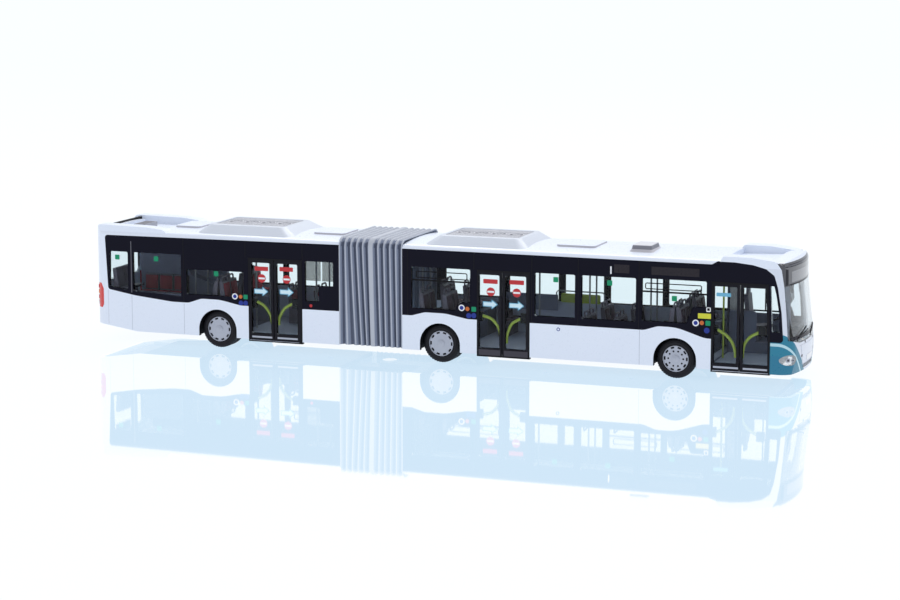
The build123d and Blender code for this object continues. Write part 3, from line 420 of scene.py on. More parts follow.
def bellows():
    half, top, low, corner = 14.6, 34.35, 3.6, 2.6
    # path round the opening, from the right lower edge over the roof to the left lower edge: place and outward direction
    path = [(-half, low + (top - corner - low) * k / 10, -1.0, 0.0) for k in range(10)]
    for k in range(9):
        a = math.radians(180 - 90 * k / 8)
        path.append((-half + corner + corner * math.cos(a), top - corner + corner * math.sin(a), math.cos(a), math.sin(a)))
    path += [((-half + corner) + (2 * half - 2 * corner) * k / 12, top, 0.0, 1.0) for k in range(1, 12)]
    path += [(-y, z, -ny, nz) for y, z, ny, nz in path[:19][::-1]]
    # depth along the bus: wide middle rib, five pleats each way and a flange at each car
    length = X_FRONT_END - X_REAR_END
    rib, pleats = 0.68, 5
    pitch = (length / 2 - rib) / pleats
    profile = []
    for side in (-1, 1):
        part = []
        for k in range(pleats):
            base = rib + k * pitch
            for share, depth in ((0.00, 0.02), (0.05, 0.10), (0.14, 0.32), (0.24, 0.62), (0.34, 0.92), (0.41, 1.02), (0.48, 0.92), (0.58, 0.62), (0.68, 0.32), (0.77, 0.10), (0.82, 0.02), (0.88, 0.0), (0.96, 0.0)):
                part.append((side * (base + share * pitch), depth))
        part.append((side * length / 2, 0.0))
        profile.append(part)
    line = profile[0][::-1] + [(-0.5, -0.08), (0.0, -0.12), (0.5, -0.08)] + profile[1]
    piece = Piece()
    rows, cols = len(line), len(path)
    for inset in (0.0, 0.35):
        for dx, depth in line:
            for y, z, ny, nz in path:
                d = depth + inset
                drop = max(0.0, (top - corner - z) / (top - corner - low)) ** 1.1
                sag = lean(dx) * drop * (1.0 if y < 0 else -0.6)
                piece.verts.append((X_PIVOT + dx + sag, y - ny * d, z - nz * d))
    off = rows * cols
    for i in range(rows - 1):
        for j in range(cols - 1):
            a, b, c, d = i * cols + j, i * cols + j + 1, (i + 1) * cols + j + 1, (i + 1) * cols + j
            piece.faces += [[a, b, c, d], [off + d, off + c, off + b, off + a]]
    for i in range(rows - 1):
        for j in (0, cols - 1):
            a, d = i * cols + j, (i + 1) * cols + j
            piece.faces.append([a, d, off + d, off + a])
    for j in range(cols - 1):
        for i in (0, rows - 1):
            a, b = i * cols + j, i * cols + j + 1
            piece.faces.append([a, off + a, off + b, b])
    obj = piece.build("bellows_skin", BELLOWS, None, "bellows", smooth=75.0, ride=False)
    # painted shade: faces deeper in the folds between the pleats get darker copies of the bellows grey, one step less
    # dark over the roof where light falls from above
    obj.data.materials.append(PAINTED_FOLD_SHADE)
    obj.data.materials.append(PAINTED_DEEP_SHADE)
    for poly in obj.data.polygons:
        y, z = abs(poly.center.y) / MM, poly.center.z / MM
        dy, dz = y - (half - corner), z - (top - corner)
        depth = corner - math.hypot(dy, dz) if dy > 0 and dz > 0 else (top - z if dz > 0 else half - y)
        if depth > 0.05:
            poly.material_index = (2 if depth > 0.48 else 1) - (1 if dz > 0.5 * corner else 0)
    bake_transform(obj)
    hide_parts(*["bellows_hoop_%d" % i for i in range(1, 10)])


bellows()

# ------------------------------------------------------------------ tyres with tread
WHEELS = [("front", 71.3, 3.3, False), ("middle", 3.4, 6.4, True), ("rear", -65.4, 6.4, True)]
FACE = 13.55


def tyre_profile(width):
    """Radius and depth from the outer face, from the rim seat over the tread to the inner seat; third value is the share of the shoulder notch."""
    outer = [
        (3.60, 0.34, 0), (3.72, 0.16, 0), (3.95, 0.06, 0), (4.35, 0.0, 0), (4.52, 0.02, 0), (4.57, 0.08, 0), (4.62, 0.03, 0), (4.95, 0.12, 0), (5.20, 0.26, 0.4),
        (5.38, 0.44, 1.0), (5.46, 0.62, 1.0), (5.49, 0.90, 0.8), (5.36, 0.94, 0), (5.36, 1.06, 0), (5.50, 1.10, 0),
    ]
    mid = [(5.50, width / 2 - 0.10, 0), (5.36, width / 2 - 0.06, 0)]
    half = outer + mid
    return half + [(r, width - w, s) for r, w, s in half[::-1]]


def tyre(name, x, side, width, twin, body):
    parts = [(0.0, 3.05), (3.35, 3.05)] if twin else [(0.0, width)]
    piece = Piece()
    steps = 132
    for start, wide in parts:
        profile = tyre_profile(wide)
        m = len(profile)
        base = len(piece.verts)
        for k in range(steps):
            a = 2 * math.pi * k / steps - math.pi / 2
            notch = 0.15 if k % 3 == 2 else 0.0
            for r, w, share in profile:
                rr = r - notch * share
                piece.verts.append((x + rr * math.cos(a), side * (FACE - start - w), AXLE_Z + rr * math.sin(a)))
        for k in range(steps):
            for i in range(m):
                j = (i + 1) % m
                piece.faces.append([base + k * m + i, base + k * m + j, base + ((k + 1) % steps) * m + j, base + ((k + 1) % steps) * m + i])
    return piece.build(name, TYRE, body, "tyre", smooth=28.0)


for axle, x, width, twin in WHEELS:
    body = axle + "_wheelset"
    right = tyre(axle + "_tyre_right", x, -1, width, twin, body)
    left = tyre(axle + "_tyre_left", x, 1, width, twin, body)
    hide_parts(axle + "_tyres")
    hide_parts(axle + "_tyres")

# ------------------------------------------------------------------ rims: caps and dark slots
for axle, x, width, twin in WHEELS:
    body = axle + "_wheelset"
    dark, caps = Piece(), Piece()
    for side in (-1, 1):
        face = side * FACE
        for k in range(10):
            a = 2 * math.pi * k / 10
            ca, sa = math.cos(a), math.sin(a)

            def slot_point(u, v, w, ca=ca, sa=sa):
                return (x + u * ca - v * sa, w, AXLE_Z + u * sa + v * ca)

            dark.prism(rounded(2.86, 3.34, -0.48, 0.48, 0.08, 2), face - side * 0.72, face - side * 0.45, slot_point)
            if axle == "front":
                dark.prism(circle(2.1, 0.0, 0.25, 16), face - side * 0.72, face - side * 0.45, slot_point)
        caps.lathe([(0.05, -0.30 * side), (1.05, -0.30 * side), (1.02, 0.06 * side), (0.88, 0.12 * side), (0.05, 0.14 * side)], (x, face, AXLE_Z), "y", 48)
        caps.lathe([(3.36, -0.2 * side), (3.58, -0.2 * side), (3.57, 0.02 * side), (3.47, 0.07 * side), (3.38, 0.02 * side)], (x, face, AXLE_Z), "y", 72)
    dark.build(axle + "_rim_slots", RUBBER, body, "chassis")
    caps.build(axle + "_rim_caps", SILVER, body, "rim")

# ------------------------------------------------------------------ things on the two side walls
RIGHT = -HALF


def stuck(piece, outline, lift=0.05, side=-1, sink=0.06):
    """Flat thing on a side wall, standing out by lift."""
    return piece.side(outline, side * (HALF - sink), side * (HALF + lift))


def rect(x0, x1, z0, z1):
    return [(x0, z0), (x1, z0), (x1, z1), (x0, z1)]


def square(cx, cz, half, r=0.2):
    return rounded(cx - half, cx + half, cz - half, cz + half, r, 3)


# blank signs by colour, for the front car and the rear car
def signs(body, tag, greens, whites, oranges, blues, reds, yellows, skies, arrows):
    lots = [
        ("green_signs", GREEN, [square(x, z, h) for x, z, h in greens]),
        ("orange_signs", ORANGE, [circle(x, z, r) for x, z, r in oranges]),
        ("blue_signs", BLUE, [circle(x, z, r) for x, z, r in blues]),
        ("yellow_signs", YELLOW, [rounded(a, b, c, d, 0.15, 3) for a, b, c, d in yellows]),
        ("light_blue_signs", SKY, [rounded(a, b, c, d, 0.12, 3) for a, b, c, d in skies]),
        ("white_signs", SIGN_WHITE, whites),
    ]
    for name, look, outlines in lots:
        if outlines:
            p = Piece()
            for o in outlines:
                stuck(p, o, 0.04)
            p.build(tag + "_" + name, look, body, "band")
    if reds:
        p, white = Piece(), Piece()
        for cx, cz, kind in reds:
            if kind == "plate":
                stuck(p, rounded(cx - 2.1, cx + 2.1, cz - 0.62, cz + 0.62, 0.15, 3), 0.04)
            else:
                stuck(p, circle(cx, cz, 1.22, 36), 0.04)
                stuck(white, rounded(cx - 1.0, cx + 1.0, cz - 0.26, cz + 0.26, 0.06, 2), 0.06)
        p.build(tag + "_red_signs", RED, body, "band")
        white.build(tag + "_red_sign_bars", SIGN_WHITE, body, "band")
    if arrows:
        edge, fill = Piece(), Piece()
        for cx, cz in arrows:
            shape = [(-2.2, -0.72), (0.35, -0.72), (0.35, -1.42), (2.2, 0.0), (0.35, 1.42), (0.35, 0.72), (-2.2, 0.72)]
            inner = [(-1.98, -0.5), (0.57, -0.5), (0.57, -0.98), (1.84, 0.0), (0.57, 0.98), (0.57, 0.5), (-1.98, 0.5)]
            stuck(edge, [(cx + u, cz + v) for u, v in shape], 0.04)
            stuck(fill, [(cx + u, cz + v) for u, v in inner], 0.06)
        edge.build(tag + "_arrow_edges", SKY, body, "band")
        fill.build(tag + "_arrows", PALE, body, "band")


signs(
    "front_car", "front",
    greens=[(71.0, 22.2, 0.72), (37.4, 25.6, 0.72), (52.8, 25.5, 0.72), (80.4, 16.0, 0.68), (13.5, 16.0, 0.68)],
    whites=[circle(77.0, 15.9, 0.92), circle(9.9, 16.2, 0.92), square(80.5, 19.7, 0.62, 0.25), rounded(52.9, 53.3, 28.0, 30.1, 0.08, 2)],
    oranges=[(78.7, 16.0, 0.6), (11.6, 16.0, 0.6)],
    blues=[(80.1, 14.0, 0.78), (12.0, 14.1, 0.74), (13.5, 14.2, 0.74)],
    reds=[(18.4, 24.1, "plate"), (26.1, 24.2, "plate"), (18.5, 21.2, "disc"), (26.1, 21.3, "disc")],
    yellows=[(77.6, 81.2, 17.2, 18.6)],
    skies=[(82.6, 86.6, 23.5, 24.5)],
    arrows=[(18.4, 17.7), (26.1, 17.7)],
)
signs(
    "rear_car", "rear",
    greens=[(-97.7, 25.2, 0.72), (-85.0, 25.3, 0.72), (-65.7, 21.9, 0.72), (-56.4, 15.6, 0.66)],
    whites=[circle(-59.8, 15.6, 0.9)],
    oranges=[(-58.0, 15.6, 0.58)],
    blues=[(-57.9, 13.75, 0.72), (-56.4, 13.8, 0.72)],
    reds=[(-51.3, 24.1, "plate"), (-43.5, 24.3, "plate"), (-51.2, 21.3, "disc"), (-43.4, 21.4, "disc")],
    yellows=[], skies=[], arrows=[(-51.4, 17.5), (-43.4, 17.7)],
)
# dark middles of the pale discs and of the small white square
p = Piece()
for cx, cz in ((77.0, 15.9), (9.9, 16.2)):
    stuck(p, circle(cx, cz, 0.58), 0.06)
p.build("front_disc_middles", BLUE, "front_car", "band")
p = Piece()
stuck(p, circle(-59.8, 15.6, 0.56), 0.06)
p.build("rear_disc_middles", BLUE, "rear_car", "band")
p = Piece()
stuck(p, square(80.5, 19.75, 0.36, 0.12), 0.06)
p.build("button_middle", RUBBER, "front_car", "band")
p = Piece()
stuck(p, circle(-35.9, 14.2, 0.45), 0.05)
p.build("rear_red_dot", RED, "rear_car", "band")
# small ring on the skirt
p = Piece()
for r, lift in ((0.5, 0.03),):
    p.lathe([(0.30, 0.05), (0.50, 0.05), (0.50, -0.03), (0.30, -0.03)], (38.2, RIGHT, 11.8), "y", 32)
p.build("skirt_ring", BLUE, "front_car", "band")

# side displays in the band, both blank
p = Piece()
stuck(p, rect(64.5, 77.8, 28.4, 30.6), 0.03)
stuck(p, rect(54.0, 58.3, 28.4, 30.7), 0.03)
p.build("side_displays", DISPLAY_PANEL, "front_car", "display")

# opening top vents: a bar and a thin rounded frame on the glass
p = Piece()
stuck(p, rect(61.9, 79.9, 23.55, 24.0), 0.10)
p.frame_side(62.8, 78.6, 24.4, 26.2, 0.26, RIGHT + 0.05, RIGHT - 0.10, 0.5)
stuck(p, rect(-5.2, 12.4, 23.2, 23.65), 0.10)
p.frame_side(-3.7, 11.6, 24.0, 26.0, 0.26, RIGHT + 0.05, RIGHT - 0.10, 0.5)
for x0, x1 in ((-5.2, 12.4), (44.8, 60.2), (61.9, 79.9)):
    stuck(p, rect(x0, x1, 23.4, 23.85), 0.10, side=1)
    p.frame_side(x0 + 1.0, x1 - 1.3, 24.2, 26.1, 0.26, HALF - 0.05, HALF + 0.10, 0.5)
# sliding pane of the driver's window
stuck(p, rect(82.4, 97.0, 15.2, 15.65), 0.10, side=1)
stuck(p, rect(89.4, 89.8, 15.4, 27.3), 0.08, side=1)
p.build("front_vent_frames", RUBBER, "front_car", "band")
p = Piece()
for x0, x1 in ((-92.7, -77.2), (-55.4, -39.8)):
    stuck(p, rect(x0, x1, 23.4, 23.85), 0.10, side=1)
    p.frame_side(x0 + 1.0, x1 - 1.3, 24.2, 26.1, 0.26, HALF - 0.05, HALF + 0.10, 0.5)
p.build("rear_vent_frames", RUBBER, "rear_car", "band")

# joints between the panes in the band
p = Piece()
for x0 in (-6.3, 13.5, 30.45, 43.8, 61.05):
    stuck(p, rect(x0 - 0.09, x0 + 0.09, 13.3 if x0 != 13.5 else 27.2, 31.9), 0.03)
for x0 in (-6.3, 13.4, 30.4, 43.8, 61.05, 81.1):
    stuck(p, rect(x0 - 0.09, x0 + 0.09, 13.3, 31.9), 0.03, side=1)
stuck(p, rect(81.0, 96.9, 27.2, 27.42), 0.05)
stuck(p, rect(14.3, 30.0, 27.0, 27.22), 0.05)
p.build("front_band_joints", RUBBER, "front_car", "band")
p = Piece()
for x0 in (-76.2, -56.4, -38.5):
    stuck(p, rect(x0 - 0.09, x0 + 0.09, 13.2 if x0 < -60 else 27.2, 31.6), 0.03)
for x0 in (-93.6, -76.2, -56.3, -38.9):
    stuck(p, rect(x0 - 0.09, x0 + 0.09, 14.6 if x0 < -80 else 13.4, 31.5), 0.03, side=1)
stuck(p, rect(-55.7, -38.4, 26.9, 27.12), 0.05)
p.build("rear_band_joints", RUBBER, "rear_car", "band")
p = Piece()
for side in (-1, 1):
    stuck(p, rect(-93.28, -93.02, 14.9, 30.1), 0.06, side=side)
p.build("rear_trim_strips", TRIM, "rear_car", "grille")

# joints between the skirt panels
p = Piece()
for x0, x1, z1 in ((61.3, 61.42, 13.0),):
    stuck(p, rect(x0, x1, 3.45, z1), 0.012)
for x0 in (-6.4, 13.4, 30.4, 46.0, 61.3, 80.9, 88.2):
    stuck(p, rect(x0, x0 + 0.1, 3.45, 13.0 if x0 < 62 else 11.7), 0.012, side=1)
for x0, x1 in ((14.5, 29.8), (46.6, 60.8)):
    stuck(p, rect(x0, x1, 10.3, 10.4), 0.012, side=1)
p.build("front_skirt_joints", SEAM, "front_car", "body")
p = Piece()
for x0 in (-93.2, -76.2):
    stuck(p, rect(x0, x0 + 0.11, 3.8 if x0 < -90 else 3.6, 14.2 if x0 < -90 else 12.6), 0.012)
for x0 in (-94.0, -76.2, -56.3, -47.0, -38.9):
    stuck(p, rect(x0, x0 + 0.11, 4.9 if x0 < -90 else 3.6, 14.2 if x0 < -90 else 12.6), 0.012, side=1)
stuck(p, rect(-93.8, -76.3, 9.0, 9.1), 0.012, side=1)
for side in (-1, 1):
    stuck(p, rect(-100.95, -100.87, 5.2, 15.4), 0.012, side=side)
p.build("rear_skirt_joints", SEAM, "rear_car", "body")

# filler flaps and louvres on the left side
p = Piece()
p.frame_side(34.0, 38.4, 7.4, 10.6, 0.10, HALF - 0.05, HALF + 0.012, 0.4)
p.frame_side(50.0, 55.0, 6.2, 9.8, 0.10, HALF - 0.05, HALF + 0.012, 0.4)
p.build("front_flaps", SEAM, "front_car", "body")
p = Piece()
p.frame_side(-36.5, -31.0, 6.0, 10.4, 0.10, HALF - 0.05, HALF + 0.012, 0.4)
p.build("rear_flaps", SEAM, "rear_car", "body")
p = Piece()
for k in range(7):
    stuck(p, rect(-91.2, -79.6, 5.6 + 0.42 * k, 5.82 + 0.42 * k), 0.02, side=1)
p.build("rear_side_louvres", RUBBER, "rear_car", "grille")

# ------------------------------------------------------------------ doors: grab rails, mounts and sills
def behind(x, z, depth):
    """Place at a depth behind the side wall that lines up with a place on it."""
    return (x - 0.368 * depth, RIGHT + depth, z - 0.172 * depth)


DOOR_RAILS = {
    "front": [
        [(83.2, 14.5), (85.7, 13.1), (87.4, 11.2), (88.2, 9.1), (88.4, 7.1)], [(95.1, 14.5), (92.4, 13.0), (90.9, 11.1), (90.4, 9.2), (90.3, 7.2)],
        [(16.3, 14.4), (18.9, 13.6), (20.7, 11.7), (21.5, 9.6), (21.7, 7.4)], [(27.3, 14.1), (24.9, 12.6), (23.9, 10.6), (23.4, 9.0), (23.3, 7.0)],
    ],
    "rear": [
        [(-52.7, 14.5), (-50.6, 13.4), (-49.2, 11.8), (-48.4, 10.2), (-48.1, 8.2)], [(-41.5, 14.5), (-43.8, 13.2), (-45.2, 11.4), (-45.9, 9.8), (-46.0, 8.0)],
    ],
}
LUMPS = {"front": [(82.4, 14.4), (95.7, 14.8), (15.3, 14.2), (28.5, 14.3)], "rear": [(-53.9, 14.0), (-40.6, 14.5)]}
for car in ("front", "rear"):
    p = Piece()
    for points in DOOR_RAILS[car]:
        p.tube(smooth_path([behind(x, z, 1.75) for x, z in points], 8), 0.42, 12)
    p.build(car + "_door_rails", POLE, car + "_car", "pole")
    p = Piece()
    for x, z in LUMPS[car]:
        cx, cy, cz = behind(x, z, 1.8)
        p.box(cx - 1.1, cx + 1.1, cy - 0.5, cy + 0.6, cz - 1.35, cz + 1.35)
    p.build(car + "_door_mounts", RUBBER, car + "_car", "door", bevel=0.2)
    p = Piece()
    strips = [(82.0, 88.9, 3.95, 4.45), (90.2, 96.8, 3.95, 4.45), (81.7, 97.1, 2.85, 3.3)] if car == "front" else [
        (-54.4, -48.1, 3.95, 4.45), (-46.4, -40.1, 3.95, 4.45), (-55.2, -39.6, 2.85, 3.25)]
    for a, b, c, d in strips:
        stuck(p, rect(a, b, c, d), 0.06)
    p.build(car + "_door_sills", SILVER, car + "_car", "steel")
# kick plates of the middle door and the plain dark field printed over a rear pane
p = Piece()
for a, b in ((14.95, 21.3), (22.4, 29.35)):
    stuck(p, rect(a, b, 3.25, 4.85), 0.04)
p.build("middle_door_kick_plates", KICK, "front_car", "door")
p = Piece()
stuck(p, rect(-75.3, -57.0, 22.8, 26.95), 0.02)
p.build("rear_window_print", BLACK, "rear_car", "band")
# thin rubber frames round each door opening
p = Piece()
for a, b, top, lean in ((81.3, 97.5, 27.2, 0.7), (14.4, 29.9, 27.0, 0.0)):
    p.ring_side(
        [(a + 0.05, 2.85), (b - 0.05, 2.85), (b - 0.05, 12.0), (b - lean - 0.05, top), (a + 0.05, top)],
        [(a + 0.35, 3.15), (b - 0.35, 3.15), (b - 0.35, 12.0), (b - lean - 0.35, top - 0.3), (a + 0.35, top - 0.3)], RIGHT + 0.05, RIGHT - 0.07)
p.build("front_door_frames", RUBBER, "front_car", "door")
p = Piece()
p.ring_side([(-55.45, 2.85), (-38.65, 2.85), (-38.65, 26.9), (-55.45, 26.9)], [(-55.15, 3.15), (-38.95, 3.15), (-38.95, 26.6), (-55.15, 26.6)], RIGHT + 0.05, RIGHT - 0.07)
p.build("rear_door_frame", RUBBER, "rear_car", "door")
# dark insides of the wheel arches
for car, places in (("front", (71.3, 3.4)), ("rear", (-65.4,))):
    p = Piece()
    for x in places:
        for side in (-1, 1):
            arc = [(x + 5.99 * math.cos(a), 5.4 + 5.99 * math.sin(a)) for a in (math.pi * k / 40 for k in range(41))]
            arc = [(x + 5.99, 3.42)] + arc + [(x - 5.99, 3.42)]
            inner = [(x + 5.93 * math.cos(a), 5.4 + 5.93 * math.sin(a)) for a in (math.pi * k / 40 for k in range(41))]
            inner = [(x + 5.93, 3.42)] + inner + [(x - 5.93, 3.42)]
            p.side(arc + inner[::-1], side * 13.40, side * (HALF - 0.03))
    p.build(car + "_arch_liners", RUBBER, car + "_car", "chassis")

# ------------------------------------------------------------------ inside: linings, cushions, loops, panels
def lining(x0, x1, side, wheels, top=15.0):
    """Inner lining of a side wall, open over the wheels."""
    low = [(x0, 5.0)]
    for x in wheels:
        low += [(x - 7.35, 5.0), (x - 7.35, 12.75), (x + 7.35, 12.75), (x + 7.35, 5.0)]
    return low + [(x1, 5.0), (x1, top), (x0, top)]


# the left (far) wall linings use the lit copy of the interior grey: painted light falling in through the windows
p, q = Piece(), Piece()
for x0, x1, wheels in ((-6.6, 14.3, (3.4,)), (30.2, 80.9, (71.3,))):
    p.side(lining(x0, x1, -1, wheels), -13.31, -13.42)
p.side(rect(13.0, 30.0, 12.6, 17.2), 10.9, 11.2)
q.side(lining(-6.6, 81.2, 1, (3.4, 71.3)), 13.31, 13.42)
p.side(lining(82.2, 97.0, 1, ()), 13.31, 13.42)
p.build("front_lining", INTERIOR, "front_car", "interior")
q.build("front_left_lining", INSIDE_PAINTED_LIGHT, "front_car", "interior")
p, q = Piece(), Piece()
for x0, x1, wheels in ((-100.6, -56.0, (-65.4,)), (-38.4, -28.6, ())):
    p.side(lining(x0, x1, -1, wheels), -13.31, -13.42)
q.side(lining(-100.6, -28.6, 1, (-65.4,)), 13.31, 13.42)
p.build("rear_lining", INTERIOR, "rear_car", "interior")
q.build("rear_left_lining", INSIDE_PAINTED_LIGHT, "rear_car", "interior")
# floor covering by the doors, in the lit copy of the interior grey: painted light falling in through the doors
p = Piece()
for x0, x1, y0, y1 in ((10.9, 44.6, -13.1, 13.1), (79.0, 81.3, -13.1, 13.1), (82.1, 98.0, -13.1, 3.1)):
    p.box(x0, x1, y0, y1, 5.22, 5.32)
p.build("front_lit_floor_covering", INSIDE_PAINTED_LIGHT, "front_car", "interior")
p = Piece()
p.box(-57.8, -36.6, -13.05, 13.05, 5.22, 5.32)
p.build("rear_lit_floor_covering", INSIDE_PAINTED_LIGHT, "rear_car", "interior")

# covers of the wheel boxes on the cabin side, and plain panels inside the left wall
for car, boxes in (("front", ((71.3, 8.35), (3.4, 5.25))), ("rear", ((-65.4, 5.25),))):
    p = Piece()
    for x, face in boxes:
        for side in (-1, 1):
            for x0, x1, y0, y1, z0, z1 in (
                (x - 7.2, x + 7.2, face - 0.08, face + 0.02, 5.3, 12.66), (x - 7.2, x + 7.2, face, 13.28, 12.58, 12.66),
                (x - 7.27, x - 7.18, face, 13.2, 5.3, 12.62), (x + 7.18, x + 7.27, face, 13.2, 5.3, 12.62),
            ):
                lo, hi = sorted((side * y0, side * y1))
                p.box(x0, x1, lo, hi, z0, z1)
    p.build(car + "_wheel_box_covers", INTERIOR, car + "_car", "interior")
p = Piece()
p.side(rect(-50.0, -44.5, 17.0, 27.0), 12.3, 12.8)
p.side(rect(-43.8, -38.9, 17.0, 27.0), 12.3, 12.8)
p.build("rear_inner_panels", PANEL_TINT, "rear_car", "interior")
p = Piece()
p.box(81.33, 81.42, 3.55, 13.15, 5.3, 31.35)
p.box(81.98, 82.07, 3.55, 13.15, 8.45, 31.35)
p.box(81.33, 82.07, 3.50, 3.62, 8.45, 31.35)
p.build("partition_facing", NAVY, "front_car", "interior")

BOX_TOP, FLOOR_TOP = 12.6, 5.25
FRONT_SEATS = [
    (-3.0, -1, BOX_TOP, 1.2, 1), (4.0, -1, BOX_TOP, 1.2, 1), (-3.0, 1, BOX_TOP, 1.2, 1), (4.0, 1, BOX_TOP, 1.2, 1),
    (45.2, -1, FLOOR_TOP, 4.6, 1), (54.0, -1, FLOOR_TOP, 4.6, 1), (45.2, 1, FLOOR_TOP, 4.6, 1), (54.0, 1, FLOOR_TOP, 4.6, 1),
    (14.4, 1, FLOOR_TOP, 4.6, 1), (70.4, -1, BOX_TOP, 1.2, -1), (71.6, -1, BOX_TOP, 1.2, 1), (70.4, 1, BOX_TOP, 1.2, -1), (71.6, 1, BOX_TOP, 1.2, 1),
]
REAR_SEATS = [
    (-99.6, -1, 9.2, 6.8, 1),
    (-66.2, -1, BOX_TOP, 1.2, -1), (-65.0, -1, BOX_TOP, 1.2, 1), (-66.2, 1, BOX_TOP, 1.2, -1), (-65.0, 1, BOX_TOP, 1.2, 1),
    (-51.0, 1, FLOOR_TOP, 4.6, 1), (-42.6, 1, FLOOR_TOP, 4.6, 1), (-34.2, 1, FLOOR_TOP, 4.6, 1), (-34.2, -1, FLOOR_TOP, 4.6, 1),
]


def cushions(rows, body, tag):
    pads, loops = Piece(), Piece()
    for x, side, foot, rise, facing in rows:
        back = [(1.36, rise + 0.5), (1.63, rise + 0.5), (0.99, rise + 5.0), (0.72, rise + 5.0)]
        seat = [(1.75, rise + 0.0), (4.85, rise + 0.17), (4.85, rise + 0.42), (1.75, rise + 0.30)]
        for inner, outer in ((3.8, 8.3), (8.6, 13.1)):
            if rise > 5:
                continue  # plain bench at the very back
            lo, hi = sorted((side * (inner + 0.4), side * (outer - 0.4)))
            for outline in (back, seat):
                pads.side([(x + facing * u, foot + v) for u, v in outline], lo, hi)
            a, b = side * (inner + 0.7), side * (outer - 0.7)
            top = foot + rise + 5.5
            way = [(x, a, top), (x - 0.05 * facing, a, top + 0.9), (x - 0.1 * facing, a + 0.35 * side, top + 1.3), (x - 0.1 * facing, b - 0.35 * side, top + 1.3), (x - 0.05 * facing, b, top + 0.9), (x, b, top)]
            loops.tube(way, 0.26, 8)
    return pads, loops


pads, loops = cushions(FRONT_SEATS, "front_car", "front")
pads.build("front_seat_facings", FACING_DARK, "front_car", "seat", bevel=0.1)
loops.build("front_seat_loops", SEAT, "front_car", "seat")
pads, loops = cushions(REAR_SEATS, "rear_car", "rear")
for x in (-99.4, -94.6, -89.8):
    pads.prism([(6.29, 13.0), (6.02, 13.0), (6.25, 17.0), (6.52, 17.0)], x + 0.25, x + 4.25, lambda u, v, w: (w, u, v))
    pads.prism([(3.2, 12.55), (6.0, 12.40), (6.0, 12.70), (3.2, 12.85)], x + 0.25, x + 4.25, lambda u, v, w: (w, u, v))
for x in (-92.4, -87.6, -82.8):
    pads.prism([(-11.49, 13.0), (-11.22, 13.0), (-11.42, 14.9), (-11.70, 14.9)], x + 0.25, x + 4.25, lambda u, v, w: (w, u, v))
    pads.prism([(-8.4, 12.55), (-11.2, 12.40), (-11.2, 12.70), (-8.4, 12.85)], x + 0.25, x + 4.25, lambda u, v, w: (w, u, v))
pads.build("rear_seat_facings", CUSHION, "rear_car", "seat", bevel=0.1)
loops.build("rear_seat_loops", SEAT, "rear_car", "seat")

# panel of the standing area, rails, the cab door and a coloured pole by the front door
p = Piece()
p.side(rounded(30.5, 42.2, 14.9, 17.5, 0.5, 4), 12.3, 12.8)
p.build("standing_area_panel", POLE, "front_car", "interior", bevel=0.1)
p = Piece()
p.tube([(43.4, 12.5, 13.0), (43.4, 12.5, 17.7), (42.9, 12.5, 18.2), (29.6, 12.5, 18.2), (29.1, 12.5, 17.7), (29.1, 12.5, 13.0)], 0.2, 8)
p.tube([(-6.0, -3.2, 30.2), (80.4, -3.2, 30.2)], 0.2, 8)
p.tube([(-6.0, 3.2, 30.2), (80.4, 3.2, 30.2)], 0.2, 8)
p.build("front_hand_rails", POLE_GREY, "front_car", "pole")
p = Piece()
p.tube([(-98.0, -3.2, 30.2), (-28.8, -3.2, 30.2)], 0.2, 8)
p.tube([(-98.0, 3.2, 30.2), (-28.8, 3.2, 30.2)], 0.2, 8)
p.build("rear_hand_rails", POLE_GREY, "rear_car", "pole")
p = Piece()
p.tube([(82.7, -6.4, 5.3), (82.7, -6.4, 32.1)], 0.27, 12)
p.build("front_door_pole", POLE, "front_car", "pole")
p = Piece()
p.side(rounded(82.0, 89.6, 8.3, 17.0, 0.8, 4), 3.2, 3.7)
p.build("cab_door", INTERIOR, "front_car", "interior", bevel=0.1)
p = Piece()
p.box(85.9, 86.6, 6.0, 9.0, 20.9, 23.2)
p.build("driver_headrest", SEAT, "front_car", "seat", bevel=0.25)

# ------------------------------------------------------------------ places on the rounded ends of the bus
def hit(node, start, way):
    ok, place, normal, _ = nodes[node].ray_cast(Vector(start) * MM, Vector(way).normalized())
    return (place / MM, normal) if ok else (None, None)


def on_front(y, z, names=("front_mask", "windscreen", "destination_display", "headlamps")):
    best = None
    for name in names:
        place, normal = hit(name, (130, y, z), (-1, 0, 0))
        if place is not None and (best is None or place.x > best[0].x):
            best = (place, normal)
    return best


def on_rear(y, z, names=("rear_wall", "rear_screen", "tail_lamps")):
    best = None
    for name in names:
        place, normal = hit(name, (-130, y, z), (1, 0, 0))
        if place is not None and (best is None or place.x < best[0].x):
            best = (place, normal)
    return best


def front_line(piece, points, radius, lift=0.0, steps=12):
    out = []
    for (y0, z0), (y1, z1) in zip(points[:-1], points[1:]):
        for k in range(steps + 1):
            t = k / steps
            found = on_front(y0 + (y1 - y0) * t, z0 + (z1 - z0) * t)
            if found:
                place = found[0] + found[1] * lift
                if not out or (place - out[-1]).length > 1e-4:
                    out.append(place)
    piece.tube(out, radius, 8)


def front_patch(piece, y0, y1, z0, z1, thick=0.08, steps=8, where=on_front):
    """Thin plate that follows the end of the bus, between two heights."""
    cols = []
    for k in range(steps + 1):
        y = y0 + (y1 - y0) * k / steps
        for z in (z0, z1):
            found = None
            for back in range(60):
                found = found or where(y * (1 - 0.002 * back), z - 0.02 * back)
            place, normal = found
            cols.append((place - normal * 0.05, place + normal * thick))
    verts = [v for pair in cols for v in pair]
    faces = []
    for k in range(steps):
        a, b = 4 * k, 4 * k + 4
        faces += [[a + 1, b + 1, b + 3, a + 3], [a, a + 2, b + 2, b], [a, b, b + 1, a + 1], [a + 2, a + 3, b + 3, b + 2]]
    faces += [[0, 1, 3, 2], [4 * steps, 4 * steps + 2, 4 * steps + 3, 4 * steps + 1]]
    piece.add(verts, faces)


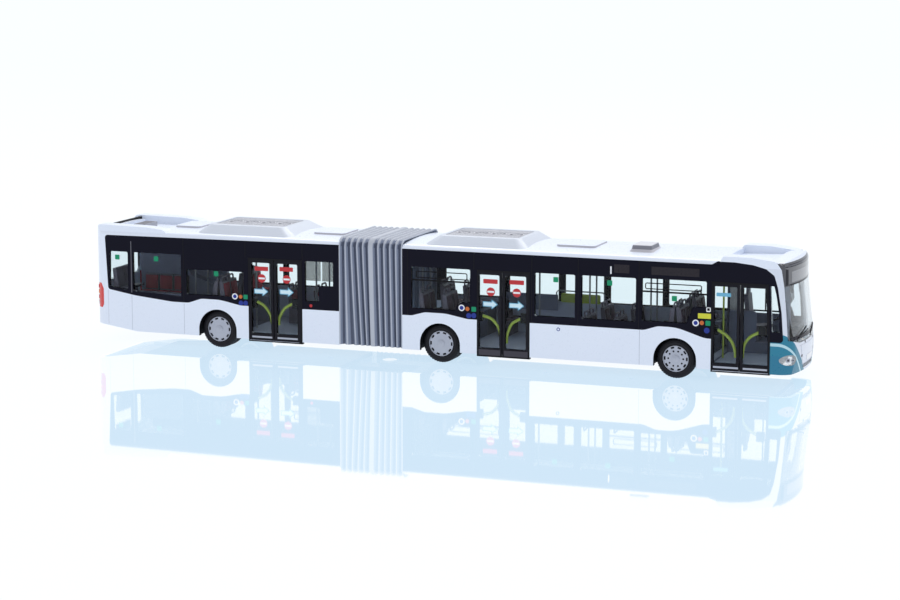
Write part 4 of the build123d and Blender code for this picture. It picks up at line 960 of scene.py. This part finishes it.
# wipers
p = Piece()
for points in ([(-10.6, 12.0), (-7.0, 13.6), (-2.6, 14.8)], [(0.6, 11.8), (4.2, 13.4), (7.4, 14.2)]):
    front_line(p, points, 0.13, 0.12)
for points in ([(-9.8, 12.8), (-0.8, 13.9)], [(1.4, 12.8), (8.6, 13.6)]):
    front_line(p, points, 0.09, 0.08)
p.build("wipers", RUBBER, "front_car", "chassis")
# dark printed edge along the foot of the windscreen
p = Piece()
front_patch(p, -13.3, 13.3, 12.3, 13.2, 0.03, 28)
p.build("screen_edge", BLACK, "front_car", "screen_dark")
# panel joints, lower slots, small holes and a blank plate
p = Piece()
front_line(p, [(-9.0, 10.4), (9.0, 10.4)], 0.06, 0.0)
front_line(p, [(-8.0, 10.4), (-6.6, 5.0), (6.6, 5.0), (8.0, 10.4)], 0.06, 0.0)
p.build("mask_joints", SEAM, "front_car", "body")
p = Piece()
for z in (4.0, 4.35, 4.7):
    front_patch(p, -5.6, 5.6, z - 0.09, z + 0.09, 0.03, 10)
p.build("mask_slots", RUBBER, "front_car", "grille")
p = Piece()
front_patch(p, -3.0, 3.0, 5.6, 7.0, 0.12, 8)
p.build("front_plate", SIGN_WHITE, "front_car", "body")
p = Piece()
for y, z, r in ((-7.2, 7.4, 0.42), (-4.6, 10.9, 0.36), (7.2, 7.4, 0.42), (4.6, 10.9, 0.36)):
    place, normal = on_front(y, z)
    p.tube([place - normal * 0.2, place + normal * 0.04], r, 20)
p.build("mask_holes", RUBBER, "front_car", "chassis")
# lamp insides
p, q = Piece(), Piece()
for side in (-1, 1):
    for dy, dz, r in ((0.55, 0.05, 0.62), (-0.95, -0.05, 0.5)):
        z = 7.0 + dz
        start = (98.45 + 0.866 * 30 - 0.5 * dy, side * (10.9 + 0.5 * 30 + 0.866 * dy), z)
        place, normal = hit("headlamps", start, (-0.866, -side * 0.5, 0))
        if place is not None:
            p.tube([place - normal * 0.1, place + normal * 0.05, place + normal * 0.10], r, 24)
            q.tube([place - normal * 0.1, place + normal * 0.13], r * 0.55, 20)
p.build("lamp_reflectors", SILVER, "front_car", "lamp_clear")
q.build("lamp_bulbs", DISPLAY, "front_car", "lamp_clear")
# lighter inner panel and dark top of the destination glass
p = Piece()
front_patch(p, -10.6, 10.6, 27.7, 30.6, 0.03, 20)
p.build("destination_panel", material("destination_panel", (0.19, 0.195, 0.215), 0.12, coat=0.2, dots=((0.23, 0.235, 0.255), "x")), "front_car", "display")

p = Piece()
for side in (-1, 1):
    front_patch(p, side * 14.2, side * 12.6, 27.1, 32.2, 0.03, 8)
front_patch(p, -12.1, 12.1, 31.9, 32.6, 0.03, 20)
front_patch(p, -12.1, 12.1, 26.95, 27.35, 0.03, 20)
p.build("display_edges", BLACK, "front_car", "display")

# rear end: flap joints, grille, blank plate, display and lamp lenses
p = Piece()


def rear_line(piece, points, radius, lift=0.0, steps=10):
    out = []
    for (y0, z0), (y1, z1) in zip(points[:-1], points[1:]):
        for k in range(steps + 1):
            t = k / steps
            found = on_rear(y0 + (y1 - y0) * t, z0 + (z1 - z0) * t)
            if found:
                place = found[0] + found[1] * lift
                if not out or (place - out[-1]).length > 1e-4:
                    out.append(place)
    piece.tube(out, radius, 8)


rear_line(p, [(-10.2, 6.2), (10.2, 6.2), (10.2, 17.4), (-10.2, 17.4), (-10.2, 6.2)], 0.06)
rear_line(p, [(-12.6, 5.9), (12.6, 5.9)], 0.06)
p.build("rear_joints", SEAM, "rear_car", "body")
p = Piece()
for k in range(7):
    front_patch(p, -7.4, 7.4, 7.0 + 0.5 * k, 7.24 + 0.5 * k, 0.03, 4, on_rear)
p.build("rear_louvres", RUBBER, "rear_car", "grille")
p = Piece()
front_patch(p, -3.0, 3.0, 12.4, 13.8, 0.12, 4, on_rear)
p.build("rear_plate", SIGN_WHITE, "rear_car", "body")
p = Piece()
front_patch(p, -4.6, 4.6, 27.6, 29.8, 0.04, 6, on_rear)
p.build("rear_display", DISPLAY_PANEL, "rear_car", "display")
amber, white, red = Piece(), Piece(), Piece()
for side in (-1, 1):
    for z, lot in ((16.1, red), (14.5, amber), (12.9, red), (11.4, white)):
        place, normal = hit("tail_lamps", (-130, side * 13.2, z), (1, 0, 0))
        if place is not None:
            lot.tube([place - normal * 0.2, place + normal * 0.06, place + normal * 0.14], 0.62, 24)
amber.build("tail_lenses_amber", LAMP_AMBER, "rear_car", "lamp_red")
white.build("tail_lenses_white", SIGN_WHITE, "rear_car", "lamp_red")
red.build("tail_lenses_red", LAMP_RED, "rear_car", "lamp_red")

# ------------------------------------------------------------------ roof: fans and louvres
for car, x0, x1 in (("front", 1.2, 25.2), ("rear", -70.2, -46.2)):
    xm, length = (x0 + x1) / 2, x1 - x0 - 2.2
    fans, bars = Piece(), Piece()
    for i in range(4):
        cx = xm + length * (i - 1.5) / 4.2
        fans.lathe([(2.0, -0.1), (2.3, -0.1), (2.3, 0.1), (2.15, 0.16), (2.0, 0.1)], (cx, 0, 35.42), "z", 40)
        fans.lathe([(0.02, -0.1), (0.55, -0.1), (0.5, 0.12), (0.02, 0.15)], (cx, 0, 35.38), "z", 24)
        for k in range(5):
            a = 2 * math.pi * k / 5
            c, s = math.cos(a), math.sin(a)
            blade = [(0.4, -0.16), (2.05, -0.42), (2.05, 0.30), (0.4, 0.16)]
            fans.top([(cx + u * c - v * s, u * s + v * c) for u, v in blade], 35.26, 35.36)
    for sy in (-1, 1):
        for k in range(11):
            y = sy * (3.2 + 0.44 * k)
            if abs(y) < 7.2:
                bars.box(xm - length / 2 + 0.5, xm + length / 2 - 0.5, y - 0.11, y + 0.11, 35.40, 35.54)
    fans.build(car + "_roof_fans", GRILLE_LIGHT, car + "_car", "grille")
    bars.build(car + "_roof_bars", GRILLE_LIGHT, car + "_car", "grille")

# roof vent: pale skirt in the grey of painted shade on its sloped sides, and a cap over the grey louvre box
def frustum(piece, cx, cy, low, high):
    """Tapered block with round corners; low and high give half length, half width, height and corner radius."""
    rings = []
    for hx, hy, z, r in (low, high):
        rings.append([(u, v, z) for u, v in rounded(cx - hx, cx + hx, cy - hy, cy + hy, r, 4)])
    n = len(rings[0])
    faces = [list(range(n))[::-1], list(range(n, 2 * n))] + [[i, (i + 1) % n, n + (i + 1) % n, n + i] for i in range(n)]
    return piece.add(rings[0] + rings[1], faces)


p = Piece()
frustum(p, 59.8, -3.8, (3.75, 5.15, 33.2, 1.0), (2.98, 4.32, 34.2, 0.75))
p.build("roof_vent_skirt", HATCH_SHADE_GREY, "front_car", "body")
p = Piece()
frustum(p, 59.8, -3.8, (2.72, 4.02, 35.12, 0.6), (2.60, 3.90, 35.32, 0.5))
p.build("roof_vent_cap", GRILLE_LIGHT, "front_car", "grille")
# fan box on the rear roof
p = Piece()
frustum(p, -95.55, -0.5, (1.95, 4.10, 32.25, 0.4), (1.88, 4.03, 33.79, 0.4))
p.build("rear_fan_box", GRILLE, "rear_car", "grille")
p = Piece()
for k in range(6):
    p.box(-97.15 + 0.56 * k, -96.83 + 0.56 * k, -4.1, 3.1, 33.75, 33.85)
p.build("rear_fan_box_louvres", VENT, "rear_car", "grille")
# grey edges of the moulded hatches: painted shade on their sloped sides
for car, hatches in (("front", ((40.4, 5.6, 6.3),)), ("rear", ((-34.0, 4.8, 5.8), (-79.0, 4.0, 5.8)))):
    p = Piece()
    for x, hx, hy in hatches:
        frustum(p, x, 0.0, (hx + 0.14, hy + 0.14, 33.25, 1.3), (hx + 0.03, hy + 0.03, 34.13, 1.2))
    p.build(car + "_hatch_edges", HATCH_SHADE_GREY, car + "_car", "body")

# ------------------------------------------------------------------ camera
YAW, ELEVATION, DISTANCE, FOCAL = math.radians(20.2), math.radians(9.17), 0.687, 2402.0
TARGET = Vector((0.00105, 0.0, 0.0157))
forward = Vector((-math.sin(YAW) * math.cos(ELEVATION), math.cos(YAW) * math.cos(ELEVATION), -math.sin(ELEVATION)))
camera = bpy.data.objects.new("camera", bpy.data.cameras.new("camera"))
camera.data.sensor_width = 36.0
camera.data.sensor_fit = "HORIZONTAL"
camera.data.lens = FOCAL / 900.0 * 36.0
camera.data.clip_start, camera.data.clip_end = 0.01, 50.0
camera.location = TARGET - forward * DISTANCE
camera.rotation_euler = (-forward).to_track_quat("Z", "Y").to_euler()
scene.collection.objects.link(camera)
scene.camera = camera

# ------------------------------------------------------------------ floor, light and world
FLOOR = bpy.data.materials.new("glossy_white_floor")
FLOOR.use_nodes = True
ft = FLOOR.node_tree
ft.nodes.clear()
matte = ft.nodes.new("ShaderNodeBsdfDiffuse")
matte.inputs["Color"].default_value = (0.05, 0.055, 0.06, 1.0)
glow = ft.nodes.new("ShaderNodeEmission")
glow.inputs["Color"].default_value = (0.58, 0.74, 0.88, 1.0)
glow.inputs["Strength"].default_value = 1.0
gloss = ft.nodes.new("ShaderNodeBsdfGlossy")
gloss.inputs["Color"].default_value = (0.50, 0.31, 0.16, 1.0)
gloss.inputs["Roughness"].default_value = 0.03
both, all_three = ft.nodes.new("ShaderNodeAddShader"), ft.nodes.new("ShaderNodeAddShader")
surface = ft.nodes.new("ShaderNodeOutputMaterial")
ft.links.new(matte.outputs[0], both.inputs[0])
ft.links.new(glow.outputs[0], both.inputs[1])
ft.links.new(both.outputs[0], all_three.inputs[0])
ft.links.new(gloss.outputs[0], all_three.inputs[1])
ft.links.new(all_three.outputs[0], surface.inputs["Surface"])
floor_mesh = bpy.data.meshes.new("floor")
floor_mesh.from_pydata([(-20, -20, 0), (20, -20, 0), (20, 20, 0), (-20, 20, 0)], [], [[0, 1, 2, 3]])
floor_mesh.materials.append(FLOOR)
floor = bpy.data.objects.new("floor", floor_mesh)
scene.collection.objects.link(floor)

world = bpy.data.worlds.new("studio")
scene.world = world
world.use_nodes = True
wt = world.node_tree
background = wt.nodes["Background"]
coord = wt.nodes.new("ShaderNodeTexCoord")
split = wt.nodes.new("ShaderNodeSeparateXYZ")
ramp = wt.nodes.new("ShaderNodeValToRGB")
wt.links.new(coord.outputs["Generated"], split.inputs[0])
wt.links.new(split.outputs["Z"], ramp.inputs[0])
ramp.color_ramp.elements[0].position = 0.0
ramp.color_ramp.elements[0].color = (0.84, 0.90, 1.0, 1.0)
ramp.color_ramp.elements[1].position = 0.8
ramp.color_ramp.elements[1].color = (1.0, 1.0, 1.0, 1.0)
wt.links.new(ramp.outputs[0], background.inputs["Color"])
background.inputs["Strength"].default_value = 0.82


def area(name, place, target, size, watts, colour=(1, 1, 1)):
    light = bpy.data.lights.new(name, "AREA")
    light.shape = "RECTANGLE"
    light.size, light.size_y = size
    light.energy = watts
    light.color = colour
    o = bpy.data.objects.new(name, light)
    o.location = place
    o.rotation_euler = (Vector(place) - Vector(target)).to_track_quat("Z", "Y").to_euler()
    scene.collection.objects.link(o)


area("overhead", (0.0, 0.52, 0.66), (0, 0, 0), (0.9, 0.5), 4.6)

scene.view_settings.view_transform = "Standard"
scene.view_settings.look = "None"
scene.view_settings.exposure = 0.0
scene.view_settings.gamma = 1.0
